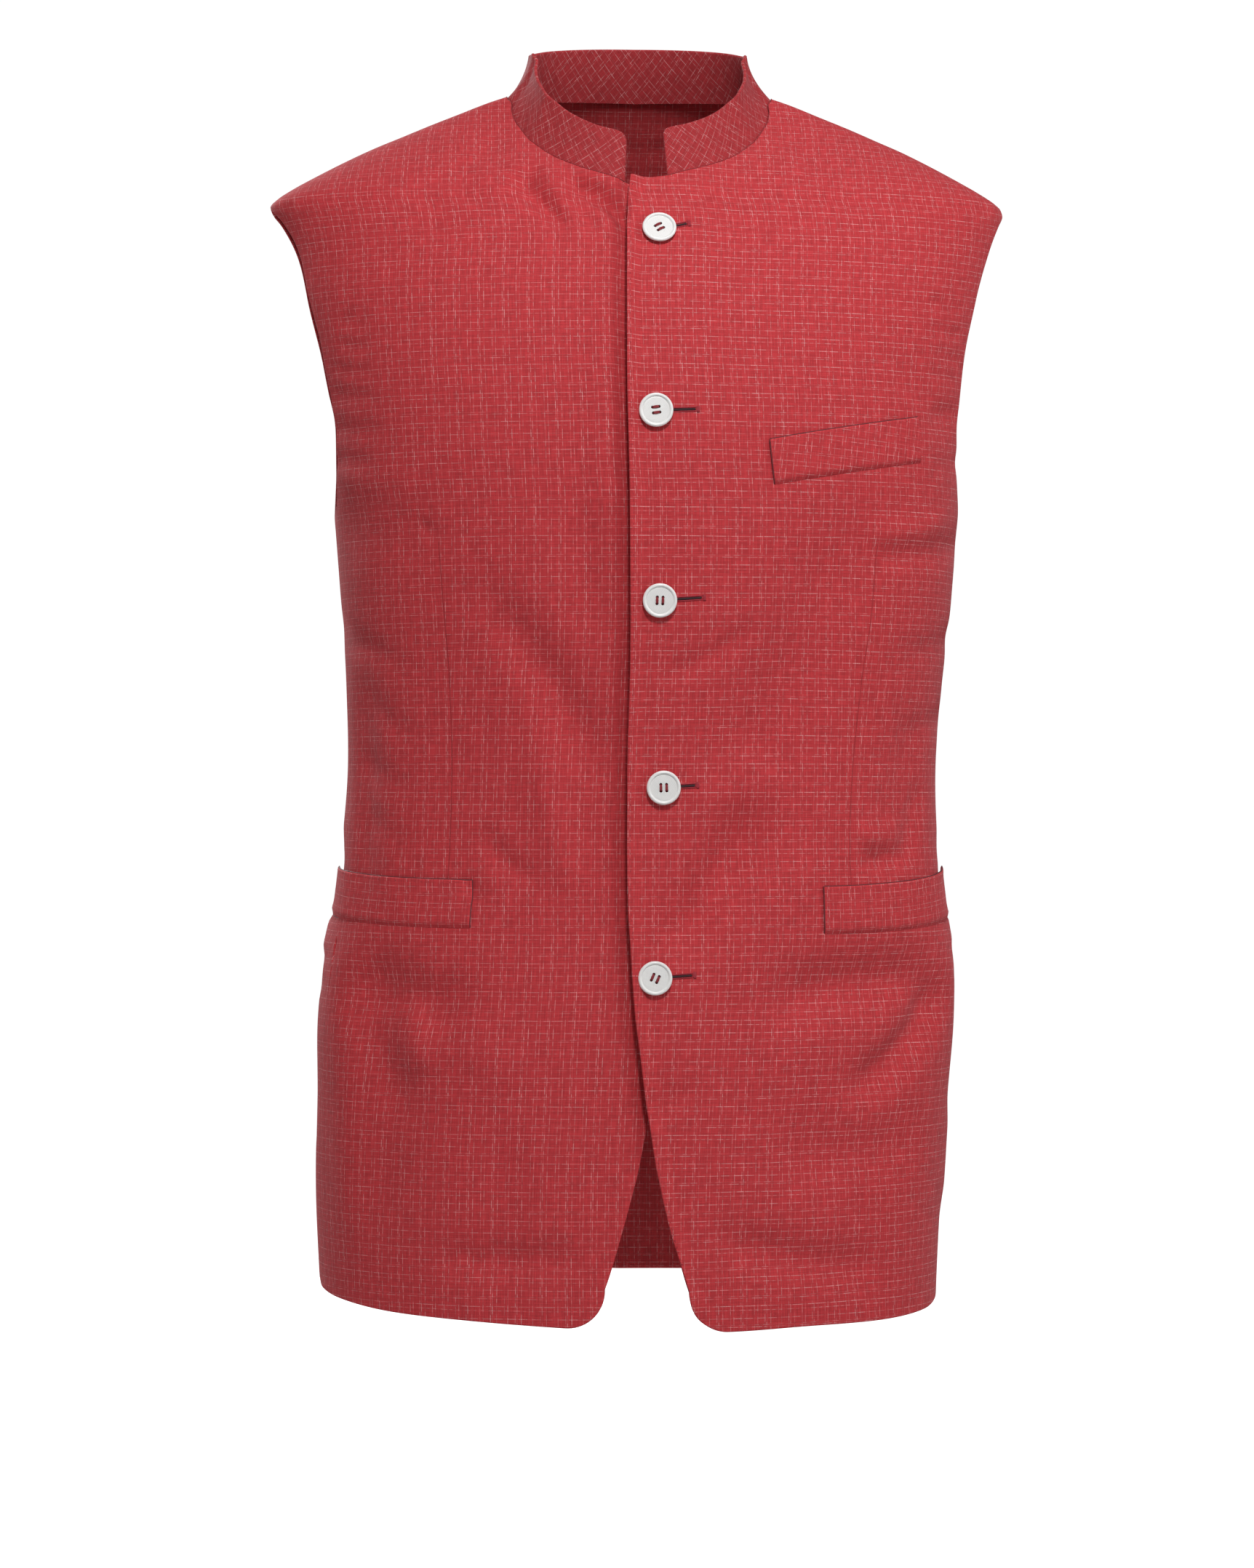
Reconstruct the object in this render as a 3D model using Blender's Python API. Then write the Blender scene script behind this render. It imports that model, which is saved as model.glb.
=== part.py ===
"""Sleeveless Nehru jacket in red handloom cloth, closed, in its hollow worn form.

Metres, +Z up. The front faces -Y and the wearer's left is +X. The origin is at the
neck base: level with the inner ends of the shoulder seams, midway front to back.
"""

from collections import namedtuple

import bmesh
import bpy
import numpy as np
from mathutils import Matrix, Vector

# Cloth and seams
CLOTH = 0.0018
COLLAR_WALL = 0.0022
WELT_WALL = 0.0016
SEAM_GAP = 0.0003
WELT_GAP = 0.0005
LAP_GAP = 0.0006

# Lengths of the cut
VENT_TOP = -0.515
ARMHOLE_BOTTOM = -0.264
SHOULDER_TIP = -0.070
COLLAR_FRONT = -0.0608
NECK_TOP = -0.0006
HEM_BLEND = -0.640
FRONT_CORNER = 0.024
SIDE_CORNER = 0.014
VENT_SLIT = 0.0008
VENT_FLARE = 0.0012
LAP_START = 0.022
LAP_END = 0.062
BACK_NECK_RISE = 0.016

# Mesh density
FRONT_COLUMNS = 16
BACK_COLUMNS = 26
COLLAR_ROWS = 4

Level = namedtuple("Level", "height steps")
Section = namedtuple("Section", "height half_width front back centre corner")
Edge = namedtuple("Edge", "height left right")
Armhole = namedtuple("Armhole", "height front back")
SideSeam = namedtuple("SideSeam", "height left right")
Neck = namedtuple("Neck", "angle height")
Hem = namedtuple("Hem", "angle height")
Stand = namedtuple("Stand", "angle inset rise hollow")
Fold = namedtuple("Fold", "angle_a height_a angle_b height_b width depth bow")
Welt = namedtuple("Welt", "side angle_a angle_b lean low_a low_b high_a high_b bend gape")
ButtonSpot = namedtuple("ButtonSpot", "name across height turn")

# Rows of the panels from the hem up, with the steps to the next row
LEVELS = (
    Level(-0.735, 8),
    Level(VENT_TOP, 9),
    Level(ARMHOLE_BOTTOM, 2),
    Level(-0.252, 6),
    Level(-0.098, 4),
    Level(SHOULDER_TIP, 1),
    Level(-0.0634, 1),
    Level(COLLAR_FRONT, 8),
    Level(NECK_TOP, 0),
)

# Level sections of the worn cloth, from the neck down
SECTIONS = (
    Section(0.0060, 0.0620, 0.0080, 0.050, 0.0012, 2.00),
    Section(0.0000, 0.0800, 0.0120, 0.055, 0.0012, 2.00),
    Section(-0.0040, 0.0920, 0.0160, 0.059, 0.0012, 2.00),
    Section(-0.0120, 0.1120, 0.0240, 0.066, 0.0012, 2.00),
    Section(-0.0195, 0.1305, 0.0320, 0.072, 0.0012, 2.00),
    Section(-0.0275, 0.1490, 0.0410, 0.078, 0.0010, 2.00),
    Section(-0.0335, 0.1630, 0.0480, 0.083, 0.0008, 2.00),
    Section(-0.0410, 0.1785, 0.0565, 0.088, 0.0005, 2.00),
    Section(-0.0510, 0.1975, 0.0680, 0.095, 0.0002, 2.00),
    Section(-0.0603, 0.2140, 0.0765, 0.099, 0.0000, 2.00),
    Section(-0.0660, 0.2225, 0.0810, 0.101, 0.0000, 2.00),
    Section(-0.0700, 0.2262, 0.0835, 0.103, 0.0000, 2.00),
    Section(-0.0745, 0.2268, 0.0865, 0.104, 0.0008, 2.02),
    Section(-0.0800, 0.2250, 0.0900, 0.106, 0.0018, 2.05),
    Section(-0.1000, 0.2190, 0.1010, 0.112, 0.0030, 2.10),
    Section(-0.1300, 0.2130, 0.1130, 0.119, 0.0018, 2.20),
    Section(-0.1650, 0.2052, 0.1215, 0.124, 0.0020, 2.30),
    Section(-0.2000, 0.1985, 0.1265, 0.127, 0.0033, 2.38),
    Section(-0.2300, 0.1950, 0.1280, 0.126, 0.0040, 2.40),
    Section(-0.2640, 0.1920, 0.1275, 0.122, 0.0055, 2.40),
    Section(-0.3220, 0.1875, 0.1235, 0.111, 0.0055, 2.35),
    Section(-0.3650, 0.1838, 0.1180, 0.102, 0.0043, 2.30),
    Section(-0.4150, 0.1815, 0.1135, 0.097, 0.0029, 2.30),
    Section(-0.4620, 0.1840, 0.1120, 0.099, 0.0018, 2.30),
    Section(-0.5020, 0.1890, 0.1130, 0.104, 0.0016, 2.30),
    Section(-0.5430, 0.1955, 0.1150, 0.110, 0.0005, 2.30),
    Section(-0.5700, 0.1960, 0.1165, 0.113, -0.0011, 2.30),
    Section(-0.6150, 0.1940, 0.1180, 0.117, -0.0032, 2.30),
    Section(-0.6510, 0.1930, 0.1190, 0.118, -0.0048, 2.30),
    Section(-0.7000, 0.1915, 0.1195, 0.118, -0.0056, 2.30),
    Section(-0.7560, 0.1895, 0.1200, 0.117, -0.0054, 2.25),
)

# How far each front passes the centre line; negative where it is cut away
FRONT_EDGE = (
    Edge(-0.0600, 0.0078, 0.0090),
    Edge(-0.0705, 0.0094, 0.0100),
    Edge(-0.0790, 0.0108, 0.0120),
    Edge(-0.1800, 0.0125, 0.0155),
    Edge(-0.2630, 0.0110, 0.0160),
    Edge(-0.3480, 0.0105, 0.0160),
    Edge(-0.4150, 0.0119, 0.0160),
    Edge(-0.4600, 0.0120, 0.0155),
    Edge(-0.4990, 0.0115, 0.0145),
    Edge(-0.5205, 0.0102, 0.0130),
    Edge(-0.5420, 0.0090, 0.0112),
    Edge(-0.5634, 0.0074, 0.0090),
    Edge(-0.5840, 0.0048, 0.0062),
    Edge(-0.6113, 0.0014, 0.0026),
    Edge(-0.6250, -0.0007, 0.0005),
    Edge(-0.6508, -0.0045, -0.0045),
    Edge(-0.6727, -0.0088, -0.0098),
    Edge(-0.6920, -0.0131, -0.0146),
    Edge(-0.7083, -0.0178, -0.0188),
    Edge(-0.7207, -0.0212, -0.0222),
    Edge(-0.7300, -0.0240, -0.0252),
)

# The armhole's reach forward and back of the side line
ARMHOLE = (
    Armhole(-0.0700, 0.0000, 0.0000),
    Armhole(-0.0735, 0.0085, 0.0095),
    Armhole(-0.0780, 0.0145, 0.0165),
    Armhole(-0.0880, 0.0215, 0.0245),
    Armhole(-0.1000, 0.0265, 0.0305),
    Armhole(-0.1300, 0.0350, 0.0420),
    Armhole(-0.1650, 0.0400, 0.0505),
    Armhole(-0.2000, 0.0395, 0.0530),
    Armhole(-0.2300, 0.0335, 0.0470),
    Armhole(-0.2480, 0.0240, 0.0345),
    Armhole(-0.2580, 0.0135, 0.0200),
    Armhole(-0.2640, 0.0000, 0.0000),
)

# The side seam's place forward of the middle of the body
SIDE_SEAM = (
    SideSeam(-0.0700, 0.0000, 0.0000),
    SideSeam(-0.2640, 0.0100, 0.0120),
    SideSeam(-0.3500, 0.0130, 0.0160),
    SideSeam(-0.4300, 0.0180, 0.0230),
    SideSeam(-0.5000, 0.0240, 0.0330),
    SideSeam(-0.5300, 0.0250, 0.0370),
    SideSeam(-0.5700, 0.0230, 0.0370),
    SideSeam(-0.6000, 0.0200, 0.0320),
    SideSeam(-0.6300, 0.0160, 0.0220),
    SideSeam(-0.6800, 0.0100, 0.0120),
    SideSeam(-0.7600, 0.0060, 0.0060),
)

# The neckline, as the angle from the front toward either side, in degrees
NECKLINE = (
    Neck(-15.0, -0.0640),
    Neck(0.0, -0.0625),
    Neck(10.5, -0.0608),
    Neck(17.6, -0.0580),
    Neck(25.6, -0.0548),
    Neck(33.0, -0.0511),
    Neck(44.4, -0.0441),
    Neck(51.5, -0.0385),
    Neck(57.5, -0.0335),
    Neck(63.7, -0.0275),
    Neck(71.5, -0.0195),
    Neck(77.9, -0.0120),
    Neck(84.4, -0.0040),
    Neck(90.0, -0.0006),
    Neck(110.0, -0.0035),
    Neck(135.0, -0.0065),
    Neck(180.0, -0.0080),
)

# The hem's height round the body, in degrees toward the wearer's left
HEM = (
    Hem(-180.0, -0.7380),
    Hem(-110.0, -0.7335),
    Hem(-90.0, -0.7310),
    Hem(-75.0, -0.7355),
    Hem(-60.0, -0.7402),
    Hem(-45.0, -0.7428),
    Hem(-25.0, -0.7458),
    Hem(0.0, -0.7487),
    Hem(25.0, -0.7493),
    Hem(45.0, -0.7476),
    Hem(60.0, -0.7472),
    Hem(75.0, -0.7448),
    Hem(90.0, -0.7385),
    Hem(110.0, -0.7380),
    Hem(180.0, -0.7380),
)

# The band collar: its lean, its rise and the hollow of its side, round the neck
STAND = (
    Stand(0.0, 0.0120, 0.0300, 0.0003),
    Stand(10.0, 0.0120, 0.0300, 0.0003),
    Stand(24.0, 0.0120, 0.0288, 0.0003),
    Stand(45.0, 0.0132, 0.0288, 0.0008),
    Stand(60.0, 0.0120, 0.0288, 0.0016),
    Stand(75.0, 0.0138, 0.0272, 0.0026),
    Stand(90.0, 0.0152, 0.0272, 0.0032),
    Stand(110.0, 0.0140, 0.0285, 0.0024),
    Stand(135.0, 0.0110, 0.0305, 0.0012),
    Stand(180.0, 0.0090, 0.0320, 0.0006),
)
COLLAR_END_LEFT = 10.5
COLLAR_END_RIGHT = 8.4
COLLAR_CORNER = 0.0042

# The largest folds: troughs have a depth above zero and ridges one below zero
FOLDS = (
    Fold(-74.0, -0.360, -71.0, -0.500, 0.012, 0.0030, 0.004),
    Fold(-66.0, -0.535, -62.0, -0.690, 0.016, 0.0032, -0.004),
    Fold(-72.0, -0.540, -70.0, -0.700, 0.014, -0.0022, 0.000),
    Fold(-48.0, -0.250, -50.0, -0.520, 0.030, 0.0020, 0.006),
    Fold(62.0, -0.545, 40.0, -0.655, 0.022, 0.0030, 0.006),
    Fold(16.0, -0.410, 27.0, -0.490, 0.018, 0.0018, 0.002),
    Fold(68.0, -0.385, 60.0, -0.480, 0.014, 0.0024, -0.004),
    Fold(57.0, -0.170, 74.0, -0.215, 0.012, 0.0022, 0.002),
    Fold(152.0, -0.150, 128.0, -0.300, 0.026, 0.0034, 0.008),
    Fold(-150.0, -0.140, -127.0, -0.290, 0.024, 0.0032, -0.008),
    Fold(165.0, -0.365, 120.0, -0.400, 0.018, 0.0030, 0.010),
    Fold(-168.0, -0.390, -118.0, -0.420, 0.016, 0.0026, -0.008),
    Fold(150.0, -0.470, 146.0, -0.700, 0.024, 0.0036, 0.004),
    Fold(-146.0, -0.480, -150.0, -0.705, 0.026, 0.0032, -0.004),
    Fold(112.0, -0.470, 118.0, -0.690, 0.018, 0.0024, 0.003),
    Fold(-112.0, -0.500, -116.0, -0.690, 0.018, 0.0024, 0.003),
)
ARC_PER_DEGREE = 0.0028

# Welts on the fronts: ends in degrees from the centre line, lean of the ends, heights
# of both edges at both ends, how late the edges climb, and the stand-off of the mouth
WELTS = {
    "welt_hip_left": Welt(1, 46.5, 87.0, 0.0, -0.5148, -0.5062, -0.4862, -0.4758, 2.0, 0.0030),
    "welt_hip_right": Welt(-1, 47.0, 88.0, 0.0, -0.5110, -0.5042, -0.4819, -0.4756, 2.0, 0.0030),
    "welt_chest": Welt(1, 29.6, 62.6, -0.8, -0.2486, -0.2323, -0.2216, -0.2048, 1.0, 0.0001),
}
WELT_COLUMNS = 14
WELT_ROWS = 3

# Buttons down the front, top to bottom
BUTTON_SPOTS = (
    ButtonSpot("button_1", 0.0078, -0.0933, 30.0),
    ButtonSpot("button_2", 0.0043, -0.2054, 8.0),
    ButtonSpot("button_3", 0.0067, -0.3166, 88.0),
    ButtonSpot("button_4", 0.0095, -0.4270, 92.0),
    ButtonSpot("button_5", 0.0044, -0.5400, 66.0),
)
BUTTON_RADIUS = 0.01015
BUTTON_THICKNESS = 0.0030
BUTTON_LIFT = 0.0005
HOLE_RADIUS = 0.00095
HOLE_SPREAD = (0.0020, 0.0018)
BUTTON_SIDES = 20
HOLE_SIDES = 8

# Colours
RED_CLOTH = (0.42, 0.035, 0.045, 1.0)
WHITE_BUTTON = (0.84, 0.82, 0.78, 1.0)


def clear_scene():
    """Remove whatever objects the file holds."""
    for item in list(bpy.data.objects):
        bpy.data.objects.remove(item, do_unlink=True)


def smooth_step(value):
    """Ease from 0 to 1."""
    value = np.clip(value, 0.0, 1.0)
    return value * value * (3.0 - 2.0 * value)


def smooth_curve(rows, key, name, samples=1200):
    """Sample one column of a table on a smooth curve that never overshoots."""
    place = np.array([getattr(row, key) for row in rows])
    value = np.array([getattr(row, name) for row in rows])
    order = np.argsort(place)
    place = place[order]
    value = value[order]
    step = np.diff(place)
    slope = np.diff(value) / step
    tangent = np.zeros(len(place))
    tangent[0] = slope[0]
    tangent[-1] = slope[-1]
    for i in range(1, len(place) - 1):
        if slope[i - 1] * slope[i] > 0.0:
            before = 2.0 * step[i] + step[i - 1]
            after = step[i] + 2.0 * step[i - 1]
            tangent[i] = (before + after) / (before / slope[i - 1] + after / slope[i])
    fine = np.linspace(place[0], place[-1], samples)
    cell = np.clip(np.searchsorted(place, fine) - 1, 0, len(step) - 1)
    t = (fine - place[cell]) / step[cell]
    start = (1.0 + 2.0 * t) * (1.0 - t) ** 2 * value[cell]
    start_slope = t * (1.0 - t) ** 2 * step[cell] * tangent[cell]
    end = t * t * (3.0 - 2.0 * t) * value[cell + 1]
    end_slope = t * t * (t - 1.0) * step[cell] * tangent[cell + 1]
    return fine, start + start_slope + end + end_slope


def curves_of(rows, key):
    """Smooth curves for every column of a table."""
    names = [name for name in rows[0]._fields if name != key]
    return {name: smooth_curve(rows, key, name) for name in names}


CURVES = {
    "section": curves_of(SECTIONS, "height"),
    "edge": curves_of(FRONT_EDGE, "height"),
    "armhole": curves_of(ARMHOLE, "height"),
    "seam": curves_of(SIDE_SEAM, "height"),
    "neck": curves_of(NECKLINE, "angle"),
    "hem": curves_of(HEM, "angle"),
    "stand": curves_of(STAND, "angle"),
}


def read(table, name, place):
    """Read a smooth column at any place along it."""
    return np.interp(place, *CURVES[table][name])


def plain_body(angle, height):
    """Points of the cloth's outer side before any fold; angles in radians."""
    half = read("section", "half_width", height)
    front = read("section", "front", height)
    back = read("section", "back", height)
    power = read("section", "corner", height)
    depth = np.where(np.cos(angle) > 0.0, front, back)
    across = (np.abs(np.sin(angle)) / half) ** power
    along = (np.abs(np.cos(angle)) / depth) ** power
    radius = (across + along) ** (-1.0 / power)
    x = read("section", "centre", height) + radius * np.sin(angle)
    y = -radius * np.cos(angle)
    rise = BACK_NECK_RISE * smooth_step(y / 0.075) * smooth_step((height + 0.15) / 0.15)
    return np.stack([x, y, height + rise], axis=-1)


def normals_of(surface, angle, height):
    """Outward unit normals of a surface given as a function of angle and height."""
    turn = 0.012
    climb = 0.0012
    around = surface(angle + turn, height) - surface(angle - turn, height)
    upward = surface(angle, height + climb) - surface(angle, height - climb)
    normal = np.cross(around, upward)
    return normal / np.linalg.norm(normal, axis=-1, keepdims=True)


def fold_depth(angle, height):
    """Sum of the folds at a place on the body, inward above zero."""
    arc = np.degrees(angle) * ARC_PER_DEGREE
    total = np.zeros(np.shape(arc))
    for fold in FOLDS:
        start = np.array([fold.angle_a * ARC_PER_DEGREE, fold.height_a])
        run = np.array([fold.angle_b * ARC_PER_DEGREE, fold.height_b]) - start
        length = np.hypot(*run)
        along = ((arc - start[0]) * run[0] + (height - start[1]) * run[1]) / length ** 2
        aside = ((arc - start[0]) * run[1] - (height - start[1]) * run[0]) / length
        bowed = aside - fold.bow * np.sin(np.pi * np.clip(along, 0.0, 1.0))
        fade = smooth_step((along + 0.15) / 0.4) * smooth_step((1.15 - along) / 0.4)
        total = total + fold.depth * fade * np.exp(-((bowed / fold.width) ** 2))
    return total


def body(angle, height):
    """Points of the cloth's outer side with its folds."""
    depth = fold_depth(angle, height)
    normal = normals_of(plain_body, angle, height)
    return plain_body(angle, height) - normal * depth[..., None]


def angle_at_depth(forward, height, side):
    """Polar angle where a section passes a distance forward of the middle."""
    half = read("section", "half_width", height)
    front = read("section", "front", height)
    back = read("section", "back", height)
    power = read("section", "corner", height)
    depth = np.where(forward > 0.0, front, back)
    across = half * (1.0 - (np.abs(forward) / depth) ** power) ** (1.0 / power)
    return np.arctan2(side * across, forward)


def angle_at_width(x, height):
    """Polar angle where a section's front passes a distance from the centre plane."""
    half = read("section", "half_width", height)
    front = read("section", "front", height)
    power = read("section", "corner", height)
    across = x - read("section", "centre", height)
    forward = front * (1.0 - (np.abs(across) / half) ** power) ** (1.0 / power)
    return np.arctan2(across, forward)


def side_name(side):
    """The table column of a side: +1 is the wearer's left."""
    return "left" if side > 0 else "right"


def front_edge_angle(height, side):
    """Angle of a front's inner end: its button edge, then the neckline above it."""
    edge = angle_at_width(-side * read("edge", side_name(side), height), height)
    places, heights = CURVES["neck"]["height"]
    rising = places <= 90.0
    neck = np.radians(np.interp(height, heights[rising], places[rising]))
    return side * np.maximum(side * edge, neck)


def side_edge_angle(height, side, piece):
    """Angle of a panel's outer end: side seam, armhole, then shoulder seam."""
    seam = read("seam", side_name(side), height)
    in_armhole = (height < SHOULDER_TIP) & (height > ARMHOLE_BOTTOM)
    reach = np.where(in_armhole, read("armhole", piece, height), 0.0)
    slit = np.where(height < VENT_TOP - 0.004, VENT_SLIT, 0.0) + SEAM_GAP / 2.0
    toward = 1.0 if piece == "front" else -1.0
    on_shoulder = height >= SHOULDER_TIP
    forward = np.where(on_shoulder, 0.0, seam) + toward * (reach + slit)
    return angle_at_depth(forward, height, side)


def row_heights():
    """Heights of the panel rows from the hem up."""
    heights = []
    for level, upper in zip(LEVELS, LEVELS[1:]):
        heights.extend(np.linspace(level.height, upper.height, level.steps, endpoint=False))
    heights.append(LEVELS[-1].height)
    return np.array(heights)


def spread(columns, squeeze=0.6):
    """Fractions across a panel, closer together near both edges."""
    t = np.linspace(0.0, 1.0, columns + 1)
    return t - squeeze * np.sin(2.0 * np.pi * t) / (2.0 * np.pi)


def round_off(distance, radius):
    """Rise of a hem at a rounded corner, by the distance from its edge."""
    inside = np.clip(radius - distance, 0.0, radius)
    return radius - np.sqrt(radius * radius - inside * inside)


def hem_rows(height, angle, distance_a, distance_b, corner_a, corner_b):
    """Bend the lowest rows to the hem with its rounded corners."""
    hem = read("hem", "height", np.degrees(angle))
    hem = hem + round_off(distance_a, corner_a) + round_off(distance_b, corner_b)
    weight = np.clip((HEM_BLEND - height) / (HEM_BLEND - LEVELS[0].height), 0.0, 1.0)
    return height + (hem - LEVELS[0].height) * weight ** 1.5


def girth_from(points, end):
    """Distance along each row from its first or last point."""
    steps = np.linalg.norm(np.diff(points, axis=1), axis=-1)
    run = np.concatenate([np.zeros((len(points), 1)), np.cumsum(steps, axis=1)], axis=1)
    return run if end == 0 else run[:, -1:] - run


def front_grid(side, columns=FRONT_COLUMNS):
    """Angles and heights of a front panel's points, row by row from the hem."""
    rows = row_heights()[:, None]
    inner = front_edge_angle(rows, side)
    outer = side_edge_angle(rows, side, "front")
    angle = inner + (outer - inner) * spread(columns)[None, :]
    height = np.broadcast_to(rows, angle.shape)
    flat = plain_body(angle, height)
    inner_run = girth_from(flat, 0)
    outer_run = girth_from(flat, 1)
    return angle, hem_rows(height, angle, inner_run, outer_run, FRONT_CORNER, SIDE_CORNER)


def back_grid(columns=BACK_COLUMNS):
    """Angles and heights of the back's points, from the wearer's right to the left."""
    rows = row_heights()[:, None]
    first = side_edge_angle(rows, -1, "back") + 2.0 * np.pi
    last = side_edge_angle(rows, 1, "back")
    angle = first + (last - first) * spread(columns)[None, :]
    angle = angle[:, ::-1]
    height = np.broadcast_to(rows, angle.shape)
    flat = plain_body(angle, height)
    signed = np.where(angle > np.pi, angle - 2.0 * np.pi, angle)
    height = hem_rows(height, signed, girth_from(flat, 0), girth_from(flat, 1), SIDE_CORNER, SIDE_CORNER)
    neck = read("neck", "height", np.degrees(np.abs(signed)))
    drop = smooth_step((height - COLLAR_FRONT) / (NECK_TOP - COLLAR_FRONT))
    return angle, height + (neck - NECK_TOP) * drop


def lap(angle, height, side):
    """How far a front stands off the body: the wearer's left laps over the right."""
    x = plain_body(angle, height)[..., 0]
    over = CLOTH + LAP_GAP
    cover = 1.0 - smooth_step((x - LAP_START) / (LAP_END - LAP_START))
    side_line = side_edge_angle(height, side, "front")
    near_side = 1.0 - smooth_step(np.abs(angle - side_line) / 0.22)
    below_vent = smooth_step((VENT_TOP - height) / 0.05) * smooth_step((height + 0.735) / 0.09)
    flare = VENT_FLARE * near_side * below_vent
    return flare + (over * cover if side > 0 else 0.0)


def front_surface(side):
    """The outer surface of a front panel, as a function of angle and height."""
    def surface(angle, height):
        out = lap(angle, height, side)
        return body(angle, height) + normals_of(plain_body, angle, height) * out[..., None]
    return surface


def make_material(name, colour, roughness):
    """A plain Principled material for one piece."""
    material = bpy.data.materials.new(name)
    material.use_nodes = True
    shader = material.node_tree.nodes["Principled BSDF"]
    shader.inputs["Base Color"].default_value = colour
    shader.inputs["Roughness"].default_value = roughness
    shader.inputs["Metallic"].default_value = 0.0
    material.diffuse_color = colour
    return material


def add_object(name, mesh, colour, roughness):
    """Put a mesh in the scene as a named piece with its own material."""
    mesh.materials.append(make_material(name, colour, roughness))
    piece = bpy.data.objects.new(name, mesh)
    bpy.context.scene.collection.objects.link(piece)
    return piece


def grid_place(vertex, columns, rows):
    """Column and row of a vertex of a grid that spans -1 to 1."""
    column = round((vertex.co.x + 1.0) / 2.0 * columns)
    row = round((vertex.co.y + 1.0) / 2.0 * rows)
    return column, row


def add_wall(name, outer, inner, colour=RED_CLOTH, roughness=0.85):
    """A closed cloth wall between two grids of points, given as rows and columns."""
    rows = outer.shape[0] - 1
    columns = outer.shape[1] - 1
    shape = bmesh.new()
    bmesh.ops.create_grid(shape, x_segments=columns, y_segments=rows, size=1.0)
    sheet = list(shape.verts)
    places = [grid_place(vertex, columns, rows) for vertex in sheet]
    grown = bmesh.ops.extrude_face_region(shape, geom=list(shape.faces), use_keep_orig=True)
    copies = [item for item in grown["geom"] if isinstance(item, bmesh.types.BMVert)]
    copy_places = [grid_place(vertex, columns, rows) for vertex in copies]
    for vertex, (column, row) in zip(sheet, places):
        vertex.co = Vector(inner[row, column])
    for vertex, (column, row) in zip(copies, copy_places):
        vertex.co = Vector(outer[row, column])
    bmesh.ops.recalc_face_normals(shape, faces=list(shape.faces))
    mesh = bpy.data.meshes.new(name)
    shape.to_mesh(mesh)
    shape.free()
    mesh.shade_smooth()
    mesh.set_sharp_from_angle(angle=0.9)
    return add_object(name, mesh, colour, roughness)


def add_panel(name, surface, angle, height):
    """A body panel, its wall grown inward from its outer surface."""
    outer = surface(angle, height)
    inner = outer - normals_of(surface, angle, height) * CLOTH
    return add_wall(name, outer, inner)


def collar_angles(columns=BACK_COLUMNS):
    """Angles round the neck where the collar's columns stand, in radians."""
    heights = row_heights()
    on_neck = heights[heights > COLLAR_FRONT + 0.0001]
    left = front_edge_angle(on_neck, 1)
    right = front_edge_angle(on_neck, -1)
    first = side_edge_angle(np.array([NECK_TOP]), -1, "back")[0] + 2.0 * np.pi
    last = side_edge_angle(np.array([NECK_TOP]), 1, "back")[0]
    behind = (first + (last - first) * spread(columns))[::-1]
    start = np.radians([COLLAR_END_LEFT])
    finish = 2.0 * np.pi - np.radians([COLLAR_END_RIGHT])
    left_run = np.concatenate([start, left[left > start[0] + 0.02][:-1]])
    right_run = np.concatenate([(right + 2.0 * np.pi)[::-1][1:], finish])
    right_run = right_run[right_run <= finish[0]]
    return left_run, behind, right_run


def collar_base(angle):
    """Points on the neckline, on whichever panel carries the collar there."""
    signed = np.where(angle > np.pi, angle - 2.0 * np.pi, angle)
    height = read("neck", "height", np.degrees(np.abs(signed)))
    left = front_surface(1)(signed, height)
    right = front_surface(-1)(signed, height)
    behind = body(angle, height)
    on_front = np.abs(signed) < np.pi / 2.0
    front = np.where((signed > 0.0)[:, None], left, right)
    return np.where(on_front[:, None], front, behind)


def collar_profile(angle, share, into_wall):
    """Points of the collar at a share of its height, any depth into its wall."""
    signed = np.where(angle > np.pi, angle - 2.0 * np.pi, angle)
    away = np.degrees(np.abs(signed))
    inset = read("stand", "inset", away)
    rise = read("stand", "rise", away)
    hollow = read("stand", "hollow", away)
    inward = np.stack([-np.sin(angle), np.cos(angle), np.zeros(len(angle))], axis=-1)
    upward = np.array([0.0, 0.0, 1.0])
    lean = inset * share + hollow * 4.0 * share * (1.0 - share)
    lean_rate = inset + hollow * 4.0 * (1.0 - 2.0 * share)
    climb = rise * share + SEAM_GAP
    wall = inward * rise[:, None] - upward * lean_rate[:, None]
    wall = wall / np.linalg.norm(wall, axis=-1, keepdims=True)
    point = collar_base(angle) + inward * lean[:, None] + upward * climb[:, None]
    return point + wall * into_wall


def collar_grid(into_wall):
    """The collar's points, row by row, with its two rounded front corners."""
    left, behind, right = collar_angles()
    angle = np.concatenate([left, behind, right])
    lengths = np.linalg.norm(np.diff(collar_base(angle), axis=0), axis=-1)
    run = np.concatenate([[0.0], np.cumsum(lengths)])
    rise = float(np.mean(read("stand", "rise", np.degrees(angle[:1]))))
    cut = round_off(run, COLLAR_CORNER) + round_off(run[-1] - run, COLLAR_CORNER)
    top = 1.0 - cut / rise
    return np.array([[collar_profile(angle, top * row / COLLAR_ROWS, into_wall)]
                     for row in range(COLLAR_ROWS + 1)])[:, 0]


def add_collar():
    """The band collar, standing on the neckline."""
    return add_wall("collar", collar_grid(0.0), collar_grid(COLLAR_WALL))


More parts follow.
